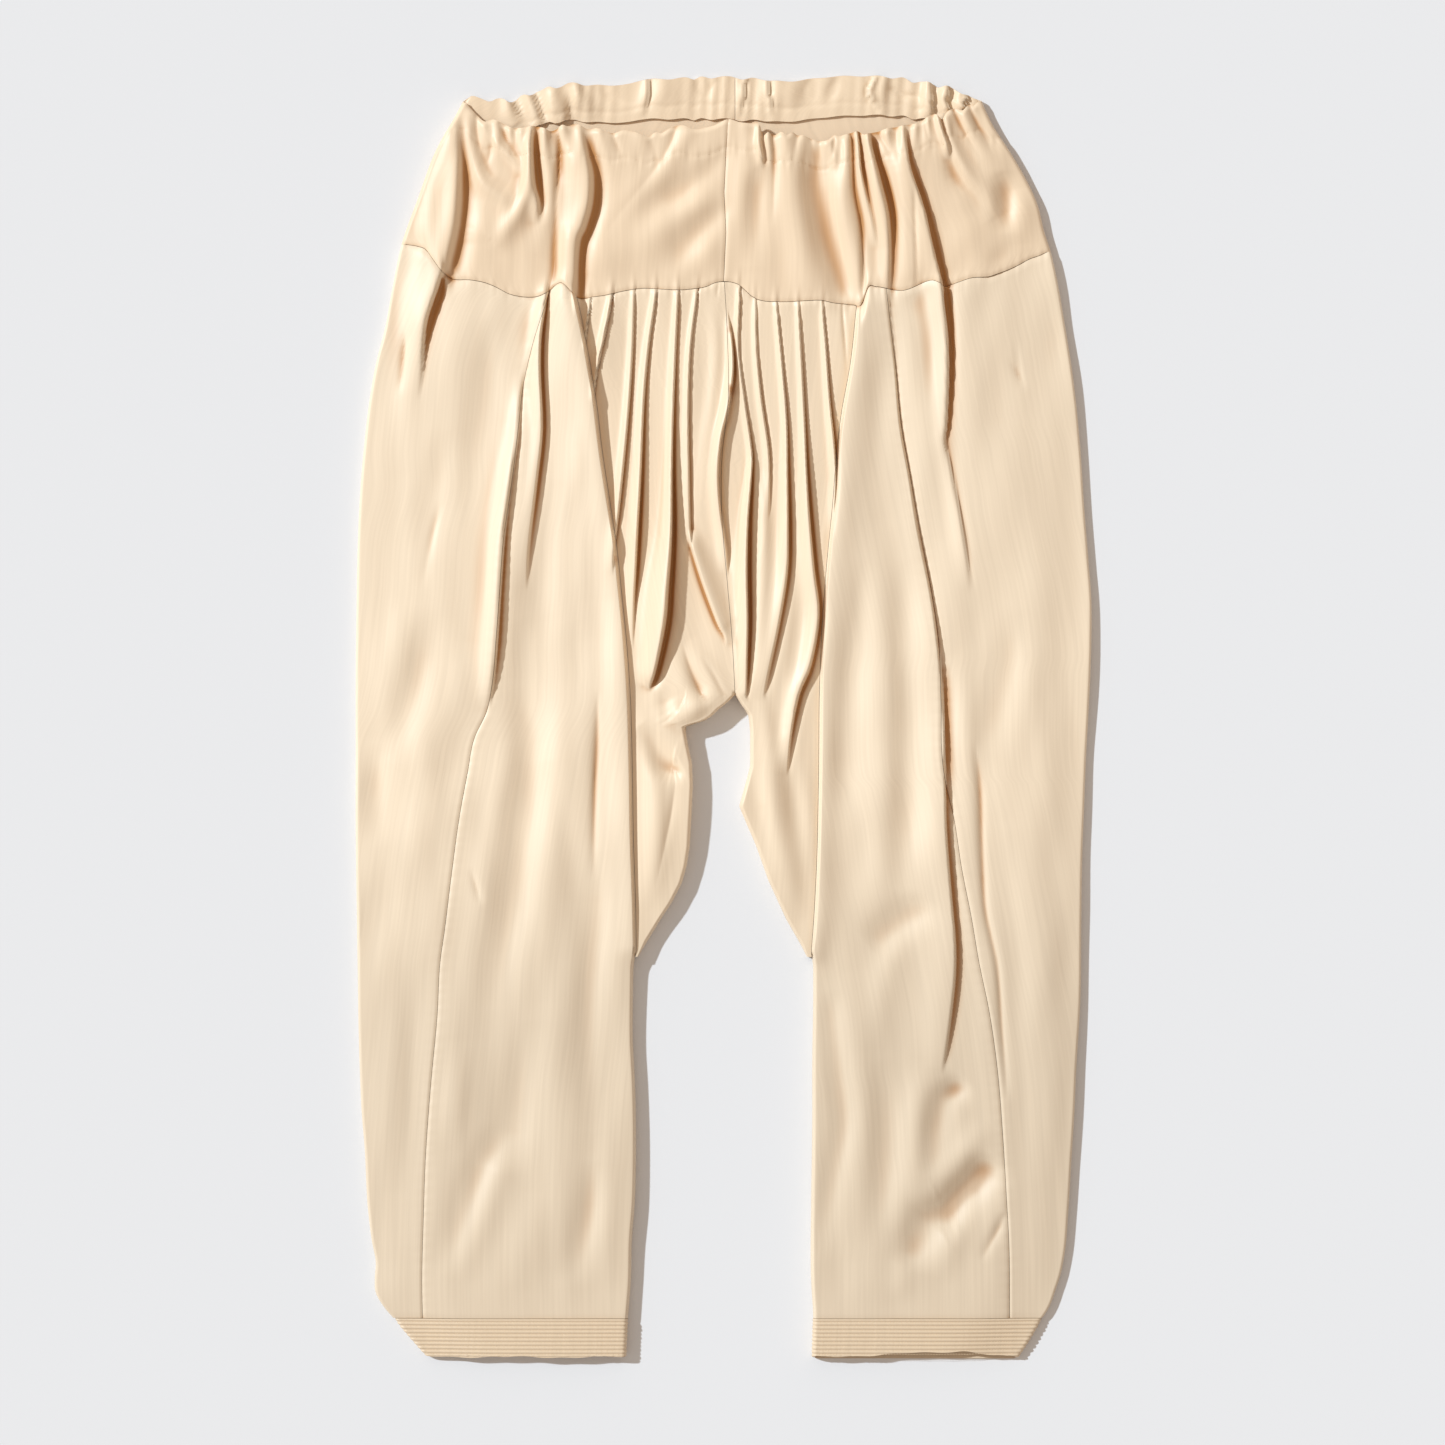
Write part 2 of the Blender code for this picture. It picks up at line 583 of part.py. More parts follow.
def belt_front(side, share):
    """Front of a belt half: where its gathers lie and how high they are, at each row."""
    sign = -1 if side == "left" else 1
    gathers = LEFT_GATHERS if side == "left" else RIGHT_GATHERS
    top_edge = BELT_SIDES[side][1]
    low_edge = BELT_SIDES[side][-1]
    start = CENTRE_FRONT + sign * SEAM_GAP / 2
    top_places, low_places, top_heights, low_heights = [start], [start], [0.0], [0.0]
    count = len(gathers["top_across"])
    for i in range(count):
        top_places.append(gathers["top_across"][i])
        low_places.append(gathers["low_across"][i])
        top_heights.append(gathers["top_height"][i])
        low_heights.append(gathers["low_height"][i])
        if i + 1 < count:
            top_places.append((gathers["top_across"][i] + gathers["top_across"][i + 1]) / 2)
            low_places.append((gathers["low_across"][i] + gathers["low_across"][i + 1]) / 2)
            top_heights.append(0.0)
            low_heights.append(0.0)
    top_share = (np.array(top_places) - start) / (top_edge - start)
    low_share = (np.array(low_places) - start) / (low_edge - start)
    places = top_share[None, :] * (1 - share[:, None]) + low_share[None, :] * share[:, None]
    heights = np.array(top_heights)[None, :] * (1 - share[:, None]) + np.array(low_heights)[None, :] * share[:, None]
    top_down = through(WAIST_FRONT["across"], WAIST_FRONT["down"], np.array(top_places))
    low_down = seam_down(np.array(low_places)) - BELT_SEAM_GAP / 2
    front_down = top_down[None, :] * (1 - share[:, None]) + low_down[None, :] * share[:, None]
    return sign, places, heights, front_down, start


def belt(side, share):
    """Belt half as rows from the centre front round the hip to the centre back."""
    sign, places, heights, front_down, start = belt_front(side, share)
    rows = len(share)
    base = WAIST_HEIGHT + (SEAM_HEIGHT - WAIST_HEIGHT) * share
    turns = len(FOLD_ANGLES)
    back_side_top = through(WAIST_BACK["across"], WAIST_BACK["down"], BELT_SIDES[side][1])
    back_side_low = seam_down(BELT_SIDES[side][-1], "back_down") - BELT_SEAM_GAP / 2
    back_side = back_side_top * (1 - share) + back_side_low * share
    round_share = np.arange(turns + 2) / (turns + 1)
    front_side_top = through(WAIST_FRONT["across"], WAIST_FRONT["down"], BELT_SIDES[side][1])
    front_side = front_side_top * (1 - share) + back_side_low * share
    fold_rows = front_side[:, None] + (back_side - front_side)[:, None] * round_share
    edges = through(BELT_SIDES["down"], BELT_SIDES[side], fold_rows) - sign * BELT_CLOTH / 2
    radius = (base - BELT_CLOTH / 2) / 2
    crease = through(BELT_SIDES["down"], BELT_SIDES[side], front_down) - sign * BELT_CLOTH / 2
    front_x = start + places * (crease - start)
    limit = (edges[:, 0] - sign * radius)[:, None]
    front_x = np.where(sign * front_x > sign * limit, limit, front_x)
    front_z = base[:, None] + heights
    fold_x, fold_z, radius = outer_fold(edges[:, 0], base, np.full(rows, BELT_CLOTH / 2), sign)
    fold_x = fold_x + edges[:, 1:-1] - edges[:, :1]
    fold_rows = fold_rows[:, 1:-1]
    edge = edges[:, -1]
    back_start = CENTRE_BACK + sign * SEAM_GAP / 2
    steps = 2 * BACK_GATHERS_EACH_SIDE + 1
    back_x = spread(edge - sign * radius, np.full(rows, back_start), steps)
    place = np.arange(steps)
    lift = np.where((place % 2 == 0) & (place > 0) & (place < steps - 1), BACK_GATHER_HEIGHT, 0.0)
    back_z = BELT_CLOTH / 2 + lift[None, :] * (1 - 0.6 * share[:, None])
    back_top = through(WAIST_BACK["across"], WAIST_BACK["down"], back_x[0])
    back_low = seam_down(back_x[-1], "back_down") - BELT_SEAM_GAP / 2
    back_down = back_top[None, :] * (1 - share[:, None]) + back_low[None, :] * share[:, None]
    x = np.column_stack((front_x, fold_x, back_x))
    z = np.column_stack((front_z, fold_z, back_z))
    down = np.column_stack((front_down, fold_rows, back_down))
    return x, down, z


def belt_half(side):
    x, down, z = belt(side, BELT_ROWS)
    return wall("belt_" + side, x, down, z, BELT_CLOTH, BELT_SATIN)


def waist_casing(side):
    """Channel for the drawn waist, from the belt's own points, moved inwards."""
    x, down, z = (rows[:2] for rows in belt(side, BELT_ROWS))
    inwards = 1 if side == "left" else -1
    shift = inwards * (BELT_CLOTH + CASING_GAP)
    return wall("waist_casing_" + side, x, down, z, BELT_CLOTH, CASING_SATIN, shift=shift)


def hem_band(side):
    """Quilted band round the end of the leg, laid flat as a ring."""
    row = {key: column[0 if side == "left" else 1] for key, column in HEMS.items()}
    sign = -1 if side == "left" else 1
    share = np.linspace(0, 1, 4)
    top = ROWS[-1] + SEAM_GAP
    outer = row["outer_top"] + (row["outer_low"] - row["outer_top"]) * share - sign * HEM_CLOTH / 2
    inner = row["inner_top"] + (row["inner_low"] - row["inner_top"]) * share + sign * HEM_CLOTH / 2
    high = np.full(4, HEM_HEIGHT)
    low = np.full(4, HEM_CLOTH / 2)
    outer_x, fold_z, radius = outer_fold(outer, high, low, sign)
    inner_x = outer_fold(inner, high, low, -sign)[0]
    front_x = spread(inner + sign * radius, outer - sign * radius, 6)
    back_x = spread(outer - sign * radius, inner + sign * radius, 4)
    x = np.column_stack((front_x, outer_x, back_x, inner_x[:, ::-1]))
    front_z, back_z = np.repeat(high[:, None], 6, axis=1), np.repeat(low[:, None], 4, axis=1)
    z = np.column_stack((front_z, fold_z, back_z, fold_z[:, ::-1]))
    middle = (row["front_low"] + row["back_low"]) / 2
    last = np.array([row["front_low"]] * 6 + [middle] * 5 + [row["back_low"]] * 4 + [middle] * 5)
    down = top + (last - top)[None, :] * share[:, None]
    return wall("hem_band_" + side, x, down, z, HEM_CLOTH, HEM_SATIN, ring=True)


for thing in list(bpy.data.objects):
    bpy.data.objects.remove(thing, do_unlink=True)

for which in ("left", "right"):
    belt_half(which)
    waist_casing(which)
    side_panel(which)
    leg_panel(which)
    back_leg_panel(which)
    gusset(which, True)
    gusset(which, False)
    hem_band(which)
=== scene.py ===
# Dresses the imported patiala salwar: satin, laid flat with its front up on a pale table.
# Sizes are in millimetres. "across" runs to the right of the view, "down" from the back waist to
# the hems, "high" up from the table. They become metres when a mesh is made.
import bpy
import numpy as np
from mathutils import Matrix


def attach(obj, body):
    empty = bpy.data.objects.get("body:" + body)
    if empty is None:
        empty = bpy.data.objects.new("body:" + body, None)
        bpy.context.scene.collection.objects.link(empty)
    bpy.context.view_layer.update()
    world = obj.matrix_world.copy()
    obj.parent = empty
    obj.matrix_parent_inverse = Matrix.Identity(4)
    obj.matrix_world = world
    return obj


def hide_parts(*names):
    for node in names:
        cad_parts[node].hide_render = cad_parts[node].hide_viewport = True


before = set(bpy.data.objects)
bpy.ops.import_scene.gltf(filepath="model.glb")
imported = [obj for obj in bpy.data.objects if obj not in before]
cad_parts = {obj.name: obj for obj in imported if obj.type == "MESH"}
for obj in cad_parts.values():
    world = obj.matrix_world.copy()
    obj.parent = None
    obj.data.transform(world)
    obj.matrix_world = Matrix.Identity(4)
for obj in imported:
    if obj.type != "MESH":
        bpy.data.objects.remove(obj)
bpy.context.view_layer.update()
mm = 0.001
waistToMiddle = 480  # down of the frame's own middle

# What every piece shares
garment = {
    "cloth": 1.1,  # thickness of the leg cloth
    "beltCloth": 1.0,
    "seamGap": 0.3,  # between the pieces that a seam joins
    "legTop": 10.8,  # top face of the leg cloth where it is flat
    "seamTop": 11.7,  # at the seam under the belt
    "waistTop": 13.0,
    "hemJoin": 10.2,  # top face of the leg where the hem band starts
    "crotchRise": 3.4,  # the gathered cloth at the crotch stands this much higher
    "legStart": 163,  # nominal row of the seam under the belt
    "legEnd": 929.6,
    "lowest": 3.6,  # the deepest fold stays this far above the table
    "foldScale": 1.25,  # all folds of the front together
    "softWidth": 1.55,  # soft ridges and valleys spread this much wider than their tables say
    "softHeight": 0.85,
    "pleatAtBelt": 0.6,  # share of a pleat's height under the belt
    "edgeFall": 4.0,  # the front sinks this much towards its outer edges
    "edgeWidth": 62,
}

# Outlines and seams, as (across, down) or, for lines that run down the cloth, as (down, across)
waistFront = [
    (-192.8, 19.1), (-189.8, 22.9), (-183.8, 29.6), (-178.5, 34.1), (-172.5, 32.6), (-166.5, 34.9),
    (-159, 38.6), (-150.8, 39.4), (-143.2, 37.9), (-134.2, 39.4), (-129, 41.6), (-124.5, 40.1), (-120.8, 37.1),
    (-116.2, 37.9), (-111.8, 36.4), (-107.2, 37.1), (-101.2, 40.1), (-94.5, 39.4), (-88.5, 41.6),
    (-82.5, 43.1), (-74.2, 40.9), (-66, 42.4), (-56.2, 45.4), (-50.2, 42.4), (-46.5, 43.1), (-39.8, 39.4),
    (-30, 37.1), (-23.2, 40.1), (-15.8, 39.4), (-6, 37.1), (3.8, 32.6), (12.8, 34.9), (21, 35.6), (25.5, 34.9),
    (27.8, 37.9), (29.2, 43.1), (33.8, 42.4), (38.2, 44.6), (43.5, 42.4), (48, 44.6), (51.8, 42.4),
    (55.5, 44.6), (60, 44.6), (65.2, 46.9), (69.8, 48.4), (74.2, 49.1), (79.5, 47.6), (82.5, 44.6),
    (86.2, 45.4), (92.2, 43.9), (97.5, 42.4), (101.2, 41.6), (105, 44.6), (110.2, 43.1), (117, 41.6),
    (123.8, 39.4), (129.8, 38.6), (135.8, 37.1), (141.8, 36.4), (147, 34.9), (151.5, 31.9), (155.2, 29.6),
    (160.5, 29.6), (163.5, 32.6), (167.2, 27.4), (174, 24.4), (179.2, 25.9), (183.8, 21.4), (187.5, 22.1),
    (191.2, 19.1), (195.8, 21.4), (198.8, 25.9),
]

waistBack = [
    (-192.8, 17.6), (-189.8, 14.6), (-183, 15.4), (-179.2, 16.9), (-174.8, 18.4), (-169.5, 16.1), (-165, 16.1),
    (-159.8, 19.1), (-154.5, 16.9), (-151.5, 13.9), (-148.5, 13.1), (-144, 13.9), (-140.2, 11.6), (-135, 9.4),
    (-130.5, 7.1), (-125.2, 8.6), (-120.8, 7.1), (-117, 4.9), (-112.5, 4.1), (-103.5, 6.4), (-94.5, 5.6),
    (-82.5, 6.4), (-70.5, 4.9), (-61.5, 2.6), (-52.5, 1.1), (-41.2, 1.9), (-26.2, 0.4), (-21.8, 1.9),
    (-17.2, -0.4), (-8.2, 1.1), (-2.2, -0.4), (6.8, -0.4), (14.2, 1.9), (21.8, 0.4), (32.2, 2.6), (39.8, 2.6),
    (52.5, 3.4), (65.2, 1.1), (77.2, 0.4), (90, -1.1), (104.2, -0.4), (117, -1.1), (126.8, 1.1), (135.8, 0.4),
    (141.8, 4.1), (148.5, 3.4), (155.2, 4.1), (161.2, 7.9), (167.2, 6.4), (172.5, 8.6), (177.8, 12.4),
    (183.8, 13.9), (188.2, 16.1), (193.5, 17.6), (197.2, 20.6),
]

beltSeam = [
    (-248.2, 125.6), (-240.8, 125.6), (-234.8, 126.4), (-228.8, 127.5), (-222, 130.5), (-216.8, 137.6),
    (-210.8, 145.9), (-203.2, 151.6), (-198, 152.6), (-192.8, 152.6), (-183, 153.7), (-177, 155.2),
    (-171, 157.6), (-159, 163.6), (-153, 165), (-147, 165.7), (-136.5, 164.6), (-132, 162.4), (-128.2, 159.7),
    (-124.5, 156.4), (-120.8, 155.2), (-117.8, 157.5), (-114.8, 160.6), (-111.8, 163.9), (-109.5, 165.7),
    (-96.8, 165.4), (-86.2, 163.9), (-76.5, 161.6), (-60, 159.1), (-46.5, 159.7), (-32.2, 160.3),
    (-21.8, 159.4), (-12, 157.6), (-6.8, 155.2), (-2.2, 154.1), (3.8, 154.1), (8.2, 154.9), (12.8, 157.1),
    (16.5, 160.5), (21, 164.6), (25.5, 167.2), (30.8, 168.6), (39.8, 169.1), (49.5, 169.1), (62.2, 168.4),
    (74.2, 168.2), (82.5, 169.9), (90, 170.6), (97.5, 171.4), (103.5, 170.9), (105.8, 165.4), (107.2, 160.9),
    (114.8, 158.1), (120.8, 159), (126, 160.1), (135.8, 160.6), (141, 159), (147, 156.2), (152.2, 154.1),
    (156.8, 153.4), (161.2, 155.2), (165.8, 157.6), (169.5, 156.8), (174, 155.2), (187.5, 151.1),
    (193.5, 150.8), (198.8, 150.4), (205.5, 148.1), (212.2, 145.6), (220.5, 141.8), (229.5, 136.9),
    (237.8, 133.9), (245.2, 130.4), (252.8, 128.6),
]

outlineLeft = [
    (13.1, -192), (30.4, -201), (54.4, -214.5), (91.9, -228.8), (125.6, -240.8), (157.1, -247.5),
    (189.4, -253.5), (215.6, -260.2), (241.9, -264.8), (279.4, -269.2), (316.9, -272.2), (354.4, -273.8),
    (391.9, -274.5), (451.9, -275.2), (504.4, -275.2), (564.4, -275.2), (616.9, -274.5), (661.9, -273.8),
    (742.1, -272.2), (774.4, -270.8), (802.9, -268.5), (846.4, -266.2), (871.9, -263.2), (889.1, -260.2),
    (900.4, -261), (910.9, -260.2), (921.4, -254.2), (931.9, -245.2), (945.4, -234.8), (955.9, -227.2),
    (959.6, -222.8),
]

outlineRight = [
    (17.6, 193.5), (28.1, 198), (37.1, 202.5), (52.1, 212.2), (74.6, 225.8), (95.6, 235.5), (116.6, 240.8),
    (130.1, 245.2), (153.4, 250.5), (187.9, 256.5), (226.9, 262.5), (279.4, 267.8), (324.4, 270.8),
    (361.9, 273.8), (391.9, 276), (421.9, 276), (448.9, 275.2), (478.1, 273.8), (506.6, 272.2), (541.9, 270.8),
    (583.1, 269.2), (631.9, 268.5), (691.9, 267.8), (742.1, 264.8), (778.1, 263.2), (812.6, 261),
    (849.4, 258.8), (883.1, 255.8), (898.1, 252.8), (907.1, 249.8), (922.9, 243.8), (934.1, 236.2),
    (943.1, 229.5), (955.1, 221.2),
]

seamLeft = [
    (155.6, -128.2), (166.9, -131.2), (196.9, -141), (230.6, -149.2), (264.4, -153), (307.1, -158.2),
    (343.1, -163.5), (391.9, -167.2), (421.9, -169.5), (454.9, -172.5), (475.9, -177), (495.4, -186),
    (521.6, -191.2), (554.6, -197.2), (598.1, -203.2), (640.9, -208.5), (661.9, -211.5), (702.4, -213.8),
    (758.6, -219), (812.6, -222.8), (854.6, -224.2), (902.6, -225.4), (940.9, -224.6), (959.6, -224.2),
]

seamRight = [
    (155.6, 121.5), (181.1, 124.5), (217.1, 129), (261.4, 133.5), (299.6, 140.2), (337.9, 147), (385.9, 156),
    (421.9, 161.2), (466.9, 162.8), (521.6, 165), (554.6, 172.5), (592.9, 178.5), (631.1, 186), (661.9, 191.2),
    (702.4, 199.5), (745.9, 205.5), (792.4, 209.2), (842.6, 212.2), (871.1, 213.8), (925.1, 214.5),
    (959.6, 214.5),
]

wingLeft = [
    (150.4, -117.8), (162.4, -113.2), (191.6, -106.5), (220.9, -101.2), (243.4, -97.5), (280.9, -93),
    (315.4, -87.8), (349.9, -82.5), (384.4, -78.8), (421.9, -75), (466.1, -72), (523.1, -70.5), (569.6, -69.8),
    (616.9, -68.2), (661.9, -67.5),
]

wingRight = [
    (154.9, 104.2), (177.4, 102), (213.4, 98.2), (255.4, 90.8), (289.9, 87), (318.4, 84.8), (366.4, 80.2),
    (406.9, 77.2), (454.9, 75), (523.1, 74.2), (586.9, 72.8), (631.9, 70.5), (661.9, 68.2),
]

innerLeft = [
    (463.1, 9), (469.1, 3), (472.9, -2.2), (478.9, -8.2), (482.6, -14.2), (484.1, -21.8), (487.1, -28.5),
    (500.6, -26.2), (514.1, -23.2), (530.6, -22.5), (546.4, -23.2), (561.4, -24), (576.4, -24.8), (590.6, -27),
    (604.1, -30.8), (618.4, -38.2), (631.1, -46.5), (646.9, -56.2), (656.6, -62.2), (664.9, -66.8),
]

innerRight = [
    (463.1, 9), (471.4, 14.2), (477.4, 18.8), (489.4, 20.2), (502.9, 20.2), (516.4, 20.2), (532.9, 15.8),
    (546.4, 12), (555.4, 15.8), (576.4, 24.8), (601.9, 33.8), (631.1, 47.2), (652.1, 59.2), (667.9, 66.8),
]

legInnerLeft = [
    (654.4, -66.8), (691.9, -67.5), (721.9, -67.5), (751.9, -66), (782.6, -65.2), (811.9, -65.2), (842.6, -66),
    (871.9, -68.2), (902.6, -69), (931.1, -71.2), (954.4, -72.8),
]

legInnerRight = [
    (658.1, 67.5), (691.9, 67.5), (736.9, 66.8), (781.9, 66.8), (841.9, 66), (902.6, 66), (928.9, 67.5),
    (959.6, 66.8),
]

centreLine = [
    (150.4, 0.8), (189.4, 3), (241.9, 3.8), (286.9, -0.8), (331.9, -0.8), (376.9, 3), (421.9, 6.8), (463.1, 9),
]

centreFront = [
    (24.4, 3.8), (34.1, 3.8), (57.4, 2.2), (87.4, 0.8), (117.4, 2.2), (147.4, 0.8), (159.4, 0),
]

beltFoldsLeft = [
    ("ridge", [(-199.5, 25.9, 0, 3.8), (-203.2, 39.4, 2.5, 4.5), (-211.5, 65.6, 3.5, 5.2),
        (-219.8, 103.1, 3.5, 6), (-224.2, 136.9, 3, 6)]),
    ("softRight", [(-198.8, 30.4, 0, 4.2), (-196.5, 54.4, 3.2, 6.6), (-195.8, 75.4, 5.2, 8.2),
        (-198, 111.4, 5.2, 9.9), (-207, 149.6, 4.4, 9.9), (-212.2, 166.9, 4, 9.9)]),
    ("ridge", [(-189.8, 30.4, 1.5, 3), (-190.5, 46.9, 3, 3.8), (-183, 75.4, 3.5, 3.8), (-166.5, 91.1, 3, 4.5),
        (-156.8, 95.6, 0, 4.5)]),
    ("crease", [(-184.5, 30.4, 1, 1.5), (-183.8, 46.9, 2, 2.2), (-177.8, 65.6, 2, 3), (-171.8, 76.9, 0, 3)]),
    ("ridge", [(-177.8, 37.9, 1, 2.2), (-167.2, 52.9, 2.5, 2.2), (-156.8, 63.4, 2.5, 2.2),
        (-152.2, 75.4, 0, 2.2)]),
    ("crease", [(-167.2, 36.4, 2, 1.5), (-162, 46.9, 2.5, 1.5), (-157.5, 55.9, 1, 1.5),
        (-155.2, 65.6, 0, 1.5)]),
    ("crease", [(-175.5, 36.4, 1, 1.5), (-172.5, 46.9, 2, 1.9), (-174.8, 60.4, 1, 2.2),
        (-177.8, 65.6, 0, 2.2)]),
    ("ridge", [(-151.5, 39.4, 0.8, 3.3), (-150, 54.4, 1.5, 4.5), (-149.2, 76.9, 1.5, 5.7),
        (-153, 95.6, 1.8, 6.8), (-167.2, 111.4, 1.5, 7.8), (-180.8, 115.9, 1.2, 7.8), (-183, 126.4, 0, 6.8)]),
    ("ridge", [(-147, 40.9, 2, 2.2), (-146.2, 54.4, 4, 2.2), (-146.2, 80.6, 4, 3), (-151.5, 100.9, 3, 3.8),
        (-163.5, 118.1, 2, 4.5), (-173.2, 133.1, 0, 4.5)]),
    ("softRight", [(-142.5, 39.4, 0.8, 2.6), (-141.8, 61.9, 3, 3.6), (-140.2, 80.6, 3.8, 4.6),
        (-137.2, 95.6, 3.4, 4.6), (-138, 111.4, 0, 4.6)]),
    ("ridge", [(-133.5, 40.9, 2, 3), (-131.2, 61.9, 3, 3.8), (-129, 84.4, 3, 4.5), (-131.2, 110.6, 2, 5.2),
        (-137.2, 136.9, 0, 6)]),
    ("crease", [(-123.8, 37.9, 2, 1.5), (-122.2, 54.4, 3, 1.9), (-123, 73.1, 3, 2.2), (-125.2, 95.6, 2, 2.2),
        (-126, 127.1, 2, 2.2), (-126.8, 159.4, 2, 2.2), (-127.5, 166.9, 2, 2.2)]),
    ("softRight", [(-106.5, 37.9, 0.8, 4.2), (-101.2, 58.1, 3.8, 6.6), (-97.5, 75.4, 5.2, 7.5),
        (-98.2, 95.6, 5.6, 7.5), (-102.8, 112.9, 5.2, 7.5), (-107.2, 124.1, 4.9, 7.5), (-108.8, 144.4, 4.5, 6.6),
        (-108.8, 166.9, 4.5, 6.6)]),
    ("ridge", [(-117.8, 39.4, 2, 3), (-113.2, 61.9, 3, 3.8), (-112.5, 84.4, 2, 4.5), (-117, 118.1, 2, 4.5),
        (-119.2, 155.6, 2, 3.8)]),
    ("crease", [(-83.2, 40.9, 1.5, 1.5), (-79.5, 52.9, 1.5, 1.9), (-74.2, 64.9, 0, 2.2)]),
    ("ridge", [(-92.2, 42.4, 1.5, 2.2), (-90, 52.9, 1, 3), (-88.5, 65.6, 0, 3)]),
    ("crease", [(-35.2, 38.6, 2, 2.2), (-41.2, 54.4, 2, 3), (-56.2, 76.9, 1.2, 3.8), (-77.2, 103.1, 0.6, 4.5),
        (-92.2, 125.6, 0, 4.5)]),
    ("ridge", [(-24.8, 40.9, 1.5, 3.8), (-41.2, 65.6, 2, 6), (-62.2, 95.6, 2.6, 8.2), (-83.2, 125.6, 2.6, 9),
        (-95.2, 151.9, 0, 9)]),
    ("valley", [(-0.8, 60.4, 1, 4.5), (-24.8, 82.9, 3, 6.8), (-51, 95.6, 3.2, 8.2), (-71.2, 110.6, 3, 8.2),
        (-87.8, 135.4, 0, 6.8)]),
    ("ridge", [(-0.8, 81.4, 0, 6), (-24.8, 97.9, 2.6, 8.2), (-47.2, 114.4, 2.8, 9), (-65.2, 138.4, 1, 9),
        (-71.2, 151.9, 0, 9)]),
    ("valley", [(-0.8, 100.9, 1, 4.5), (-17.2, 114.4, 2.8, 6.8), (-30.8, 130.9, 2.4, 6.8),
        (-36.8, 148.9, 0, 6)]),
    ("ridge", [(-5.2, 118.1, 0.5, 4.5), (-13.5, 133.1, 2, 6.8), (-17.2, 150.4, 0, 6.8)]),
    ("crease", [(-54.8, 42.4, 1, 1.5), (-53.2, 51.4, 0.8, 2.2), (-50.2, 61.9, 0, 2.2)]),
    ("ridge", [(-62.2, 39.4, 1, 3), (-60.8, 48.4, 0.8, 3.8), (-59.2, 60.4, 0, 3.8)]),
]

